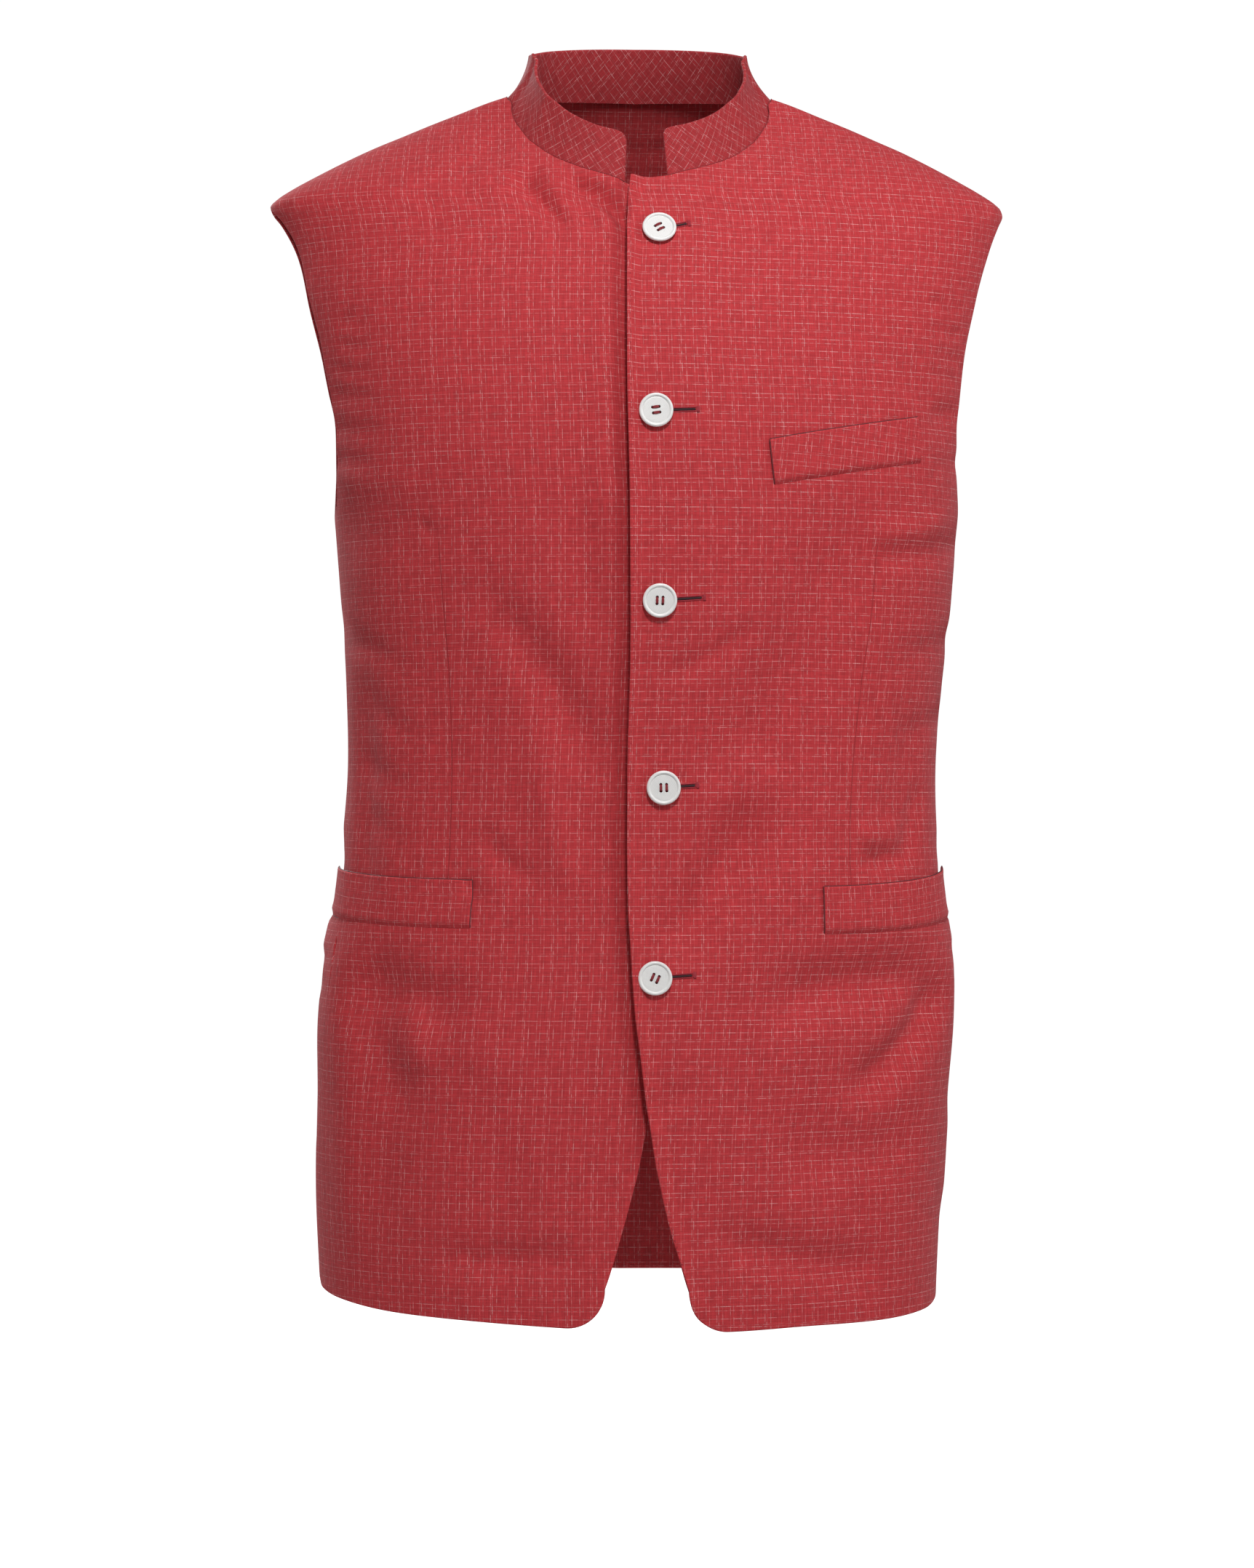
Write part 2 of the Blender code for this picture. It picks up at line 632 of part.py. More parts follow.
def welt_grid(welt):
    """Angles and heights of a welt's points on its front."""
    across = np.linspace(0.0, 1.0, WELT_COLUMNS + 1)[None, :]
    up = np.linspace(0.0, 1.0, WELT_ROWS + 1)[:, None]
    angle = np.radians(welt.angle_a + (welt.angle_b - welt.angle_a) * across + welt.lean * up)
    climb = across ** welt.bend
    low = welt.low_a + (welt.low_b - welt.low_a) * climb
    high = welt.high_a + (welt.high_b - welt.high_a) * climb
    height = low + (high - low) * up
    return welt.side * angle, height, across, up


def add_welt(name, welt):
    """A pocket welt, laid on its front and standing off a little at its mouth."""
    angle, height, across, up = welt_grid(welt)
    surface = front_surface(welt.side)
    normal = normals_of(surface, angle, height)
    gape = welt.gape * smooth_step((across - 0.45) / 0.55) * up
    inner = surface(angle, height) + normal * (WELT_GAP + gape)[..., None]
    outer = inner + normal * WELT_WALL
    return add_wall(name, outer[:, ::welt.side], inner[:, ::welt.side])


def button_profile():
    """Radius and height pairs of half a button, from its back to its front centre."""
    rim = BUTTON_THICKNESS
    return (
        (0.0, 0.0),
        (BUTTON_RADIUS * 0.80, 0.0),
        (BUTTON_RADIUS, rim * 0.45),
        (BUTTON_RADIUS * 0.97, rim * 0.90),
        (BUTTON_RADIUS * 0.88, rim),
        (BUTTON_RADIUS * 0.76, rim * 0.72),
        (0.0, rim * 0.72),
    )


def spun_mesh(name, profile, sides):
    """A closed turned mesh from a profile that starts and ends on the axis."""
    shape = bmesh.new()
    rings = []
    for radius, height in profile[1:-1]:
        turn = Matrix.Translation((0.0, 0.0, height))
        ring = bmesh.ops.create_circle(shape, segments=sides, radius=radius, matrix=turn)
        rings.append([edge for edge in shape.edges if edge.verts[0] in ring["verts"]])
    for below, above in zip(rings, rings[1:]):
        bmesh.ops.bridge_loops(shape, edges=below + above)
    bmesh.ops.contextual_create(shape, geom=rings[0])
    bmesh.ops.contextual_create(shape, geom=rings[-1])
    bmesh.ops.recalc_face_normals(shape, faces=list(shape.faces))
    mesh = bpy.data.meshes.new(name)
    shape.to_mesh(mesh)
    shape.free()
    return mesh


def hole_cutter():
    """Four round pins that cut the button's holes."""
    shape = bmesh.new()
    for x in (-HOLE_SPREAD[0], HOLE_SPREAD[0]):
        for y in (-HOLE_SPREAD[1], HOLE_SPREAD[1]):
            bmesh.ops.create_cone(
                shape, cap_ends=True, segments=HOLE_SIDES, radius1=HOLE_RADIUS,
                radius2=HOLE_RADIUS, depth=BUTTON_THICKNESS * 4.0,
                matrix=Matrix.Translation((x, y, 0.0)))
    mesh = bpy.data.meshes.new("button_holes")
    shape.to_mesh(mesh)
    shape.free()
    cutter = bpy.data.objects.new("button_holes", mesh)
    bpy.context.scene.collection.objects.link(cutter)
    cutter.hide_render = True
    cutter.display_type = "WIRE"
    return cutter


def button_mesh():
    """One four-hole button, its back on the XY plane."""
    blank = bpy.data.objects.new("button_blank", spun_mesh("button_blank", button_profile(), BUTTON_SIDES))
    bpy.context.scene.collection.objects.link(blank)
    cutter = hole_cutter()
    cut = blank.modifiers.new("holes", "BOOLEAN")
    cut.operation = "DIFFERENCE"
    cut.solver = "EXACT"
    cut.object = cutter
    graph = bpy.context.evaluated_depsgraph_get()
    mesh = bpy.data.meshes.new_from_object(blank.evaluated_get(graph))
    bpy.data.objects.remove(blank, do_unlink=True)
    bpy.data.objects.remove(cutter, do_unlink=True)
    mesh.name = "button"
    return mesh


def frame_on_front(across, height, out):
    """A frame on the wearer's left front: X across, Y up, Z out of the cloth."""
    surface = front_surface(1)
    level = np.array([height])
    angle = angle_at_width(np.array([across]), level)
    point = surface(angle, level)[0]
    outward = Vector(normals_of(surface, angle, level)[0])
    upward = Vector((0.0, 0.0, 1.0))
    upward = (upward - outward * upward.dot(outward)).normalized()
    sideways = upward.cross(outward)
    turn = Matrix((sideways, upward, outward)).transposed().to_4x4()
    return Matrix.Translation(Vector(point) + outward * out) @ turn


def add_buttons():
    """The five buttons, each its own copy on the front."""
    pattern = button_mesh()
    for spot in BUTTON_SPOTS:
        piece = add_object(spot.name, pattern.copy(), WHITE_BUTTON, 0.35)
        spin = Matrix.Rotation(np.radians(spot.turn), 4, "Z")
        piece.matrix_world = frame_on_front(spot.across, spot.height, BUTTON_LIFT) @ spin


def build_jacket():
    """Model every piece of the jacket."""
    clear_scene()
    add_panel("front_left", front_surface(1), *front_grid(1))
    add_panel("front_right", front_surface(-1), *front_grid(-1))
    add_panel("back", body, *back_grid())
    add_collar()
    for name, welt in WELTS.items():
        add_welt(name, welt)
    add_buttons()


build_jacket()
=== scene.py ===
"""Sleeveless Nehru jacket in red handloom check, dressed on its CAD frame.

Metres, +Z up. The front faces -Y and the wearer's left is +X.
"""

from collections import namedtuple

import bmesh
import bpy
import numpy as np
from bpy.props import FloatProperty, FloatVectorProperty, PointerProperty
from mathutils import Matrix, Vector


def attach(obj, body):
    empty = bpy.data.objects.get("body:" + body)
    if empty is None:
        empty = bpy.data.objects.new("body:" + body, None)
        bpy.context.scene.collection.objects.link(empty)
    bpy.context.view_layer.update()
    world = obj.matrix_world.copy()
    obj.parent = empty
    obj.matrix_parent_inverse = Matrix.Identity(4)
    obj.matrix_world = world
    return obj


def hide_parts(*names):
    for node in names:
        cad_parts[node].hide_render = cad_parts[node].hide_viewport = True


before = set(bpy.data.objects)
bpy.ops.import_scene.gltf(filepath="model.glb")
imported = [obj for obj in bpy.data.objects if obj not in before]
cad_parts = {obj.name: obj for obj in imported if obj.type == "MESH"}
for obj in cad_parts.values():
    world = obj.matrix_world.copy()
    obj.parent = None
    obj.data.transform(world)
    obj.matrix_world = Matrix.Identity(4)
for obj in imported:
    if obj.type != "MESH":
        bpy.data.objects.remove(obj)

bl_info = {
    "name": "Nehru jacket",
    "version": (1, 0, 0),
    "blender": (4, 5, 0),
    "location": "View3D > Sidebar > Jacket",
    "description": "Models a sleeveless band-collar jacket in red handloom check",
    "category": "Mesh",
}

# Walls and gaps of the pieces; seams overlap a little here, so that no light shows through
CLOTH = 0.0018
COLLAR_WALL = 0.0022
WELT_WALL = 0.0016
SEAM_LAP = 0.0002
COLLAR_SINK = 0.0011
WELT_GAP = 0.0003
LAP_GAP = 0.0006

# Heights from the neck base
VENT_TOP = -0.515
VENT_START = VENT_TOP - 0.004
ARMHOLE_BOTTOM = -0.264
SHOULDER_TIP = -0.070
COLLAR_FRONT = -0.0608
NECK_TOP = -0.0006
HEM_ROW = -0.735
HEM_BLEND = -0.640

# Corners of the hems, how the lowest rows ease to the hem, and the flared side slits
FRONT_CORNER = 0.024
SIDE_CORNER = 0.014
HEM_EASE = 1.5
VENT_SLIT = 0.0008
VENT_FLARE = 0.0012
FLARE_ANGLE = 0.22
FLARE_FADE = 0.05
FLARE_HEM_FADE = 0.09

# Where the left front's lap starts to ease and where it has ended, from the centre plane;
# its lifted edge, and the dip of the front under it
LAP_START = 0.022
LAP_END = 0.062
EDGE_LIFT = 0.0040
EDGE_LIFT_REACH = 0.010
EDGE_SINK = 0.0044
EDGE_SINK_REACH = 0.0058

# How the cloth climbs to the back of the neck, and how folds die out
BACK_NECK_RISE = 0.016
BACK_NECK_REACH = 0.075
BACK_NECK_DEPTH = 0.15
NECK_CALM = 0.009
FOLD_OVERRUN = 0.15
FOLD_FADE = 0.4
ARC_PER_DEGREE = 0.0028

# The collar: its ends in degrees from the front, its corners, weave and seam line
COLLAR_END_LEFT = 10.5
COLLAR_END_RIGHT = 8.4
COLLAR_CORNER = 0.0042
COLLAR_BIAS = 0.7071
COLLAR_WEAVE_START = (0.004, 0.011)
COLLAR_SLOPE = np.sqrt(1.0 + 0.2)
COLLAR_SEAM_OUT = 0.0001
COLLAR_SEAM_RADIUS = 0.00030
COLLAR_SEAM_COLOUR = (0.30, 0.014, 0.020)

# Usual length and height of a welt, and the shares of them where it roots and gapes
WELT_LONG = 0.10
WELT_TALL = 0.027
WELT_ROOT = 0.12
WELT_GAPE_START = 0.45

# Buttons, their holes and the thread through them
BUTTON_RADIUS = 0.01015
BUTTON_THICKNESS = 0.0030
BUTTON_LIFT = 0.0005
BUTTON_FACE = BUTTON_THICKNESS * 0.70
HOLE_SPREAD = (0.0019, 0.0017)
HOLE_RADIUS = 0.00092
THREAD_STRANDS = (-1.5, -0.5, 0.5, 1.5)
THREAD_RADIUS = 0.00031
THREAD_SPREAD = 0.00036
THREAD_ARCH = 0.00042
THREAD_PLUNGE = 0.0016
THREAD_HEAP = 0.00006

# How far a strand narrows at its ends
STRAND_TIP = 0.55

# Buttonholes: lips, slit and bar tack. The slit starts at a share of the way from the
# button's middle, under the button, and ends a little before the bar tack
LIP_ASIDE = 0.00115
LIP_RADIUS = 0.00042
LIP_RIPPLE = 0.00008
LIP_LIFT = 0.00010
SLIT_START = 0.15
SLIT_END = 0.0014
SLIT_RADIUS = 0.00064
SLIT_LIFT = 0.00002
# The slit is a dark strand, painted shade in the cut of the buttonhole
SLIT_SHADE_COLOUR = (0.030, 0.004, 0.007)
TACK_HALF = 0.0019
TACK_STEP = 0.0007
TACK_RADIUS = 0.00027
TACK_LIFT = 0.00028
TACK_SWELL = 0.00018
TACK_REACH = 0.0021

# Edge stitches, and the dark strands along a welt's mouth, foot and end that paint the shade of its
# sunk seams and open mouth
STITCH_HALF_WIDTH = 0.00024
STITCH_HALF_HEIGHT = 0.00013
STITCH_LIFT = 0.00003
STITCH_WANDER = 0.00025
EDGE_STITCH = 0.0013
WELT_STITCH = 0.0011
STITCHED_EDGE = (-0.0665, -0.722)
MOUTH_RADIUS = 0.00052
FOOT_RADIUS = 0.00042
END_RADIUS = 0.00048

# Mesh density
FRONT_COLUMNS = 96
BACK_COLUMNS = 130
COLLAR_COLUMNS = 260
COLLAR_ROWS = 32
WELT_COLUMNS = 90
WELT_ROWS = 26
BUTTON_SIDES = 64

# Distances from an edge where the rows and columns nearest to it stand, closer at the neck;
# how far free edges and seams are rounded, and a distance that counts as far from any edge
EDGE_STEPS = (0.0, 0.00012, 0.00035, 0.00065, 0.0010, 0.0017, 0.0028)
TOP_SQUEEZE = 0.3
FREE_EDGE = 0.0009
SEAM_EDGE = 0.00045
THINNEST = 0.06
FAR_FROM_EDGE = 0.02

# The weave: how far yarns wander, how uneven they are and how fine the ground's grain is
WEFT_WANDER = 0.0007
WARP_WANDER = 0.0006
SLUB_LENGTH = 60.0
SLUB_FINENESS = 420.0
GRAIN_LENGTH = 90.0
GRAIN_FINENESS = 1500.0
THREAD_TWIST = 0.0006
DASH_SOFTNESS = 0.018
FAINT_YARN = 0.25
WORN_RIM = 0.0014
# Width of the dart's stitched line, darkened in colour as painted shade of its groove
DART_LINE = 0.0006

# The camera's height and its small shift to the side
CAMERA_HEIGHT = -0.425
CAMERA_SHIFT = -0.0065

Level = namedtuple("Level", "height steps")
Section = namedtuple("Section", "height half_width front back centre corner")
Edge = namedtuple("Edge", "height left right")
Armhole = namedtuple("Armhole", "height front back")
SideSeam = namedtuple("SideSeam", "height left right")
Neck = namedtuple("Neck", "angle height")
Hem = namedtuple("Hem", "angle height")
Stand = namedtuple("Stand", "angle inset rise hollow")
Fold = namedtuple("Fold", "angle_a height_a angle_b height_b width depth bow")
Welt = namedtuple("Welt", "side angle_a angle_b lean low_a low_b high_a high_b bend gape turn")
ButtonSpot = namedtuple("ButtonSpot", "name across height turn hole_across hole_height")
Dart = namedtuple("Dart", "side angle_top height_top angle_low height_low intake")
Yarn = namedtuple("Yarn", "place strength dashes")
Dash = namedtuple("Dash", "start end")

# Rows of the panels from the hem up, with the steps to the next row
LEVELS = (
    Level(HEM_ROW, 72),
    Level(VENT_TOP, 84),
    Level(ARMHOLE_BOTTOM, 10),
    Level(-0.252, 52),
    Level(-0.098, 9),
    Level(-0.080, 8),
    Level(SHOULDER_TIP, 5),
    Level(-0.0640, 9),
    Level(COLLAR_FRONT, 46),
    Level(NECK_TOP, 0),
)

# Level sections of the worn cloth, from the neck down
SECTIONS = (
    Section(0.0060, 0.0620, 0.0080, 0.050, 0.0012, 2.00),
    Section(0.0000, 0.0800, 0.0120, 0.055, 0.0012, 2.00),
    Section(-0.0040, 0.0920, 0.0160, 0.059, 0.0012, 2.00),
    Section(-0.0120, 0.1120, 0.0240, 0.066, 0.0012, 2.00),
    Section(-0.0195, 0.1305, 0.0320, 0.072, 0.0012, 2.00),
    Section(-0.0275, 0.1490, 0.0410, 0.078, 0.0010, 2.00),
    Section(-0.0335, 0.1630, 0.0480, 0.083, 0.0008, 2.00),
    Section(-0.0410, 0.1785, 0.0565, 0.088, 0.0005, 2.00),
    Section(-0.0510, 0.1975, 0.0680, 0.095, 0.0002, 2.00),
    Section(-0.0603, 0.2140, 0.0765, 0.099, 0.0000, 2.00),
    Section(-0.0660, 0.2225, 0.0810, 0.101, 0.0000, 2.00),
    Section(-0.0700, 0.2262, 0.0835, 0.103, 0.0000, 2.00),
    Section(-0.0745, 0.2268, 0.0865, 0.104, 0.0008, 2.02),
    Section(-0.0800, 0.2250, 0.0900, 0.106, 0.0018, 2.05),
    Section(-0.1000, 0.2190, 0.1010, 0.112, 0.0030, 2.10),
    Section(-0.1300, 0.2130, 0.1130, 0.119, 0.0018, 2.20),
    Section(-0.1650, 0.2052, 0.1215, 0.124, 0.0020, 2.30),
    Section(-0.2000, 0.1985, 0.1265, 0.127, 0.0033, 2.38),
    Section(-0.2300, 0.1950, 0.1280, 0.126, 0.0040, 2.40),
    Section(-0.2640, 0.1920, 0.1275, 0.122, 0.0055, 2.40),
    Section(-0.3220, 0.1875, 0.1235, 0.111, 0.0055, 2.35),
    Section(-0.3650, 0.1838, 0.1180, 0.102, 0.0043, 2.30),
    Section(-0.4150, 0.1815, 0.1135, 0.097, 0.0029, 2.30),
    Section(-0.4620, 0.1840, 0.1120, 0.099, 0.0018, 2.30),
    Section(-0.5020, 0.1890, 0.1130, 0.104, 0.0016, 2.30),
    Section(-0.5430, 0.1955, 0.1150, 0.110, 0.0005, 2.30),
    Section(-0.5700, 0.1960, 0.1165, 0.113, -0.0011, 2.30),
    Section(-0.6150, 0.1940, 0.1180, 0.117, -0.0032, 2.30),
    Section(-0.6510, 0.1930, 0.1190, 0.118, -0.0048, 2.30),
    Section(-0.7000, 0.1915, 0.1195, 0.118, -0.0056, 2.30),
    Section(-0.7560, 0.1895, 0.1200, 0.117, -0.0054, 2.25),
)

# How far each front passes the centre line; negative where it is cut away
FRONT_EDGE = (
    Edge(-0.0600, 0.0078, 0.0090),
    Edge(-0.0705, 0.0094, 0.0100),
    Edge(-0.0790, 0.0108, 0.0120),
    Edge(-0.1800, 0.0125, 0.0155),
    Edge(-0.2630, 0.0110, 0.0160),
    Edge(-0.3480, 0.0105, 0.0160),
    Edge(-0.4150, 0.0119, 0.0160),
    Edge(-0.4600, 0.0120, 0.0155),
    Edge(-0.4990, 0.0115, 0.0145),
    Edge(-0.5205, 0.0102, 0.0130),
    Edge(-0.5420, 0.0090, 0.0112),
    Edge(-0.5634, 0.0074, 0.0090),
    Edge(-0.5840, 0.0048, 0.0062),
    Edge(-0.6113, 0.0014, 0.0026),
    Edge(-0.6250, -0.0007, 0.0005),
    Edge(-0.6508, -0.0045, -0.0045),
    Edge(-0.6727, -0.0088, -0.0098),
    Edge(-0.6920, -0.0131, -0.0146),
    Edge(-0.7083, -0.0178, -0.0188),
    Edge(-0.7207, -0.0212, -0.0222),
    Edge(-0.7300, -0.0240, -0.0252),
)

# The armhole's reach forward and back of the side line
ARMHOLE = (
    Armhole(-0.0700, 0.0000, 0.0000),
    Armhole(-0.0735, 0.0085, 0.0095),
    Armhole(-0.0780, 0.0145, 0.0165),
    Armhole(-0.0880, 0.0215, 0.0245),
    Armhole(-0.1000, 0.0265, 0.0305),
    Armhole(-0.1300, 0.0350, 0.0420),
    Armhole(-0.1650, 0.0400, 0.0505),
    Armhole(-0.2000, 0.0395, 0.0530),
    Armhole(-0.2300, 0.0335, 0.0470),
    Armhole(-0.2480, 0.0240, 0.0345),
    Armhole(-0.2580, 0.0135, 0.0200),
    Armhole(-0.2640, 0.0000, 0.0000),
)

# The side seam's place forward of the middle of the body
SIDE_SEAM = (
    SideSeam(-0.0700, 0.0000, 0.0000),
    SideSeam(-0.2640, 0.0100, 0.0120),
    SideSeam(-0.3500, 0.0130, 0.0160),
    SideSeam(-0.4300, 0.0180, 0.0230),
    SideSeam(-0.5000, 0.0240, 0.0330),
    SideSeam(-0.5300, 0.0250, 0.0370),
    SideSeam(-0.5700, 0.0230, 0.0370),
    SideSeam(-0.6000, 0.0200, 0.0320),
    SideSeam(-0.6300, 0.0160, 0.0220),
    SideSeam(-0.6800, 0.0100, 0.0120),
    SideSeam(-0.7600, 0.0060, 0.0060),
)

# The neckline, as the angle from the front toward either side, in degrees
NECKLINE = (
    Neck(-15.0, -0.0640),
    Neck(0.0, -0.0625),
    Neck(10.5, -0.0608),
    Neck(17.6, -0.0580),
    Neck(25.6, -0.0548),
    Neck(33.0, -0.0511),
    Neck(44.4, -0.0441),
    Neck(51.5, -0.0385),
    Neck(57.5, -0.0335),
    Neck(63.7, -0.0275),
    Neck(71.5, -0.0195),
    Neck(77.9, -0.0120),
    Neck(84.4, -0.0040),
    Neck(90.0, -0.0006),
    Neck(110.0, -0.0035),
    Neck(135.0, -0.0065),
    Neck(180.0, -0.0080),
)

# The hem's height round the body, in degrees toward the wearer's left
HEM = (
    Hem(-180.0, -0.7380),
    Hem(-110.0, -0.7335),
    Hem(-90.0, -0.7310),
    Hem(-75.0, -0.7355),
    Hem(-60.0, -0.7402),
    Hem(-45.0, -0.7428),
    Hem(-25.0, -0.7458),
    Hem(0.0, -0.7487),
    Hem(25.0, -0.7493),
    Hem(45.0, -0.7476),
    Hem(60.0, -0.7472),
    Hem(75.0, -0.7448),
    Hem(90.0, -0.7385),
    Hem(110.0, -0.7380),
    Hem(180.0, -0.7380),
)

# The band collar: its lean, its rise and the hollow of its side, round the neck
STAND = (
    Stand(0.0, 0.0120, 0.0300, 0.0003),
    Stand(10.0, 0.0120, 0.0300, 0.0003),
    Stand(24.0, 0.0120, 0.0288, 0.0003),
    Stand(45.0, 0.0132, 0.0288, 0.0008),
    Stand(60.0, 0.0120, 0.0288, 0.0016),
    Stand(75.0, 0.0138, 0.0272, 0.0026),
    Stand(90.0, 0.0152, 0.0272, 0.0032),
    Stand(110.0, 0.0140, 0.0285, 0.0024),
    Stand(135.0, 0.0110, 0.0305, 0.0012),
    Stand(180.0, 0.0090, 0.0320, 0.0006),
)

# The largest folds; the solids have them too. Troughs are above zero and ridges below
FOLDS = (
    Fold(-74.0, -0.360, -71.0, -0.500, 0.012, 0.0030, 0.004),
    Fold(-66.0, -0.535, -62.0, -0.690, 0.016, 0.0032, -0.004),
    Fold(-72.0, -0.540, -70.0, -0.700, 0.014, -0.0022, 0.000),
    Fold(-48.0, -0.250, -50.0, -0.520, 0.030, 0.0020, 0.006),
    Fold(62.0, -0.545, 40.0, -0.655, 0.022, 0.0030, 0.006),
    Fold(16.0, -0.410, 27.0, -0.490, 0.018, 0.0018, 0.002),
    Fold(68.0, -0.385, 60.0, -0.480, 0.014, 0.0024, -0.004),
    Fold(57.0, -0.170, 74.0, -0.215, 0.012, 0.0022, 0.002),
    Fold(152.0, -0.150, 128.0, -0.300, 0.026, 0.0034, 0.008),
    Fold(-150.0, -0.140, -127.0, -0.290, 0.024, 0.0032, -0.008),
    Fold(165.0, -0.365, 120.0, -0.400, 0.018, 0.0030, 0.010),
    Fold(-168.0, -0.390, -118.0, -0.420, 0.016, 0.0026, -0.008),
    Fold(150.0, -0.470, 146.0, -0.700, 0.024, 0.0036, 0.004),
    Fold(-146.0, -0.480, -150.0, -0.705, 0.026, 0.0032, -0.004),
    Fold(112.0, -0.470, 118.0, -0.690, 0.018, 0.0024, 0.003),
    Fold(-112.0, -0.500, -116.0, -0.690, 0.018, 0.0024, 0.003),
)

# Finer creases, ripples and drag lines of the fronts
FRONT_CREASES = (
    Fold(33.0, -0.440, 7.0, -0.526, 0.0170, 0.0085, 0.003),
    Fold(76.0, -0.548, 54.0, -0.612, 0.0125, 0.0096, -0.003),
    Fold(34.0, -0.556, 74.0, -0.541, 0.0185, 0.0098, -0.005),
    Fold(55.0, -0.457, 66.0, -0.455, 0.0080, -0.0031, 0.000),
    Fold(56.0, -0.472, 66.0, -0.470, 0.0060, 0.0023, 0.000),
    Fold(48.0, -0.262, 24.0, -0.440, 0.0290, 0.0072, -0.004),
    Fold(3.0, -0.361, 26.0, -0.332, 0.0070, 0.0020, 0.003),
    Fold(53.0, -0.291, 83.0, -0.276, 0.0080, 0.0020, 0.002),
    Fold(51.0, -0.276, 72.0, -0.265, 0.0070, -0.0020, 0.002),
    Fold(64.0, -0.135, 74.0, -0.137, 0.0045, 0.0012, 0.000),
    Fold(66.0, -0.150, 75.0, -0.153, 0.0042, 0.0013, 0.000),
    Fold(67.0, -0.165, 75.0, -0.169, 0.0045, 0.0013, 0.000),
    Fold(65.0, -0.177, 75.0, -0.180, 0.0045, 0.0011, 0.000),
    Fold(66.0, -0.203, 75.0, -0.198, 0.0050, 0.0013, 0.000),
    Fold(67.0, -0.233, 91.0, -0.223, 0.0060, 0.0009, 0.000),
    Fold(-72.0, -0.146, -65.0, -0.149, 0.0050, 0.0013, 0.000),
    Fold(-72.0, -0.161, -64.0, -0.165, 0.0050, 0.0014, 0.000),
    Fold(-74.0, -0.175, -63.0, -0.179, 0.0050, 0.0013, 0.000),
    Fold(-75.0, -0.190, -63.0, -0.195, 0.0055, 0.0014, 0.000),
    Fold(-77.0, -0.210, -62.0, -0.215, 0.0060, 0.0014, 0.000),
    Fold(-78.0, -0.229, -64.0, -0.234, 0.0060, 0.0013, 0.000),
    Fold(-43.0, -0.313, -16.0, -0.416, 0.0150, 0.0042, -0.003),
    Fold(-78.0, -0.238, -53.0, -0.247, 0.0100, -0.0011, 0.000),
    Fold(-78.0, -0.268, -52.0, -0.280, 0.0180, 0.0020, 0.003),
    Fold(-56.0, -0.269, -52.0, -0.278, 0.0040, 0.0016, 0.000),
    Fold(-72.0, -0.538, -56.0, -0.625, 0.0130, 0.0039, 0.003),
    Fold(-59.0, -0.554, -53.0, -0.597, 0.0100, -0.0029, 0.000),
    Fold(-70.0, -0.536, -46.0, -0.562, 0.0180, 0.0072, 0.004),
    Fold(-45.0, -0.457, -33.0, -0.482, 0.0075, 0.0023, 0.002),
    Fold(-49.0, -0.480, -45.0, -0.496, 0.0050, 0.0018, 0.000),
    Fold(-73.0, -0.371, -61.0, -0.397, 0.0080, 0.0016, 0.002),
    Fold(-77.0, -0.410, -62.0, -0.432, 0.0090, 0.0016, -0.002),
    Fold(-74.0, -0.443, -62.0, -0.461, 0.0080, 0.0013, 0.000),
    Fold(-32.0, -0.396, -23.0, -0.490, 0.0130, -0.0029, 0.003),
    Fold(-64.0, -0.044, -52.0, -0.077, 0.0050, 0.0014, 0.000),
    Fold(-71.0, -0.026, -51.0, -0.059, 0.0050, 0.0016, 0.000),
    Fold(-48.0, -0.054, -28.0, -0.090, 0.0068, 0.0068, 0.001),
    Fold(-30.0, -0.070, -18.0, -0.092, 0.0060, 0.0030, 0.001),
    Fold(-64.0, -0.058, -55.0, -0.100, 0.0090, 0.0012, 0.000),
    Fold(71.0, -0.029, 55.0, -0.064, 0.0060, 0.0012, 0.000),
    Fold(68.0, -0.047, 57.0, -0.085, 0.0070, 0.0009, 0.000),
    Fold(22.0, -0.694, 60.0, -0.716, 0.0130, 0.0046, 0.002),
    Fold(-50.0, -0.706, -16.0, -0.705, 0.0100, 0.0032, 0.002),
    Fold(38.0, -0.650, 69.0, -0.637, 0.0220, 0.0051, 0.003),
    Fold(-35.0, -0.632, -36.0, -0.735, 0.0160, 0.0021, 0.000),
    Fold(55.0, -0.669, 58.0, -0.740, 0.0120, 0.0021, 0.002),
    Fold(-18.0, -0.263, -18.0, -0.340, 0.0160, 0.0027, 0.000),
    Fold(0.0, -0.619, 16.0, -0.606, 0.0090, 0.0017, 0.000),
    Fold(-90.0, -0.327, -64.0, -0.350, 0.0080, 0.0021, 0.000),
    Fold(62.0, -0.347, 91.0, -0.331, 0.0090, 0.0015, 0.000),
    Fold(64.0, -0.395, 85.0, -0.383, 0.0090, 0.0015, 0.000),
    Fold(72.0, -0.426, 67.0, -0.474, 0.0070, 0.0029, 0.000),
    Fold(-89.0, -0.468, -89.0, -0.503, 0.0200, 0.0015, 0.000),
    Fold(89.0, -0.476, 89.0, -0.504, 0.0180, 0.0014, 0.000),
    Fold(89.0, -0.622, 90.0, -0.684, 0.0200, -0.0021, 0.000),
    Fold(-31.0, -0.058, -6.0, -0.088, 0.0078, 0.0078, -0.001),
    Fold(12.0, -0.440, 30.0, -0.410, 0.0160, -0.0026, 0.002),
    Fold(44.0, -0.470, 24.0, -0.545, 0.0160, -0.0026, 0.003),
    Fold(-52.0, -0.560, -34.0, -0.600, 0.0160, -0.0020, 0.002),
    Fold(-12.0, -0.140, -13.0, -0.310, 0.0140, -0.0022, 0.002),
    Fold(-89.0, -0.505, -89.0, -0.528, 0.0200, -0.0018, 0.000),
    Fold(89.0, -0.505, 89.0, -0.524, 0.0180, -0.0013, 0.000),
)

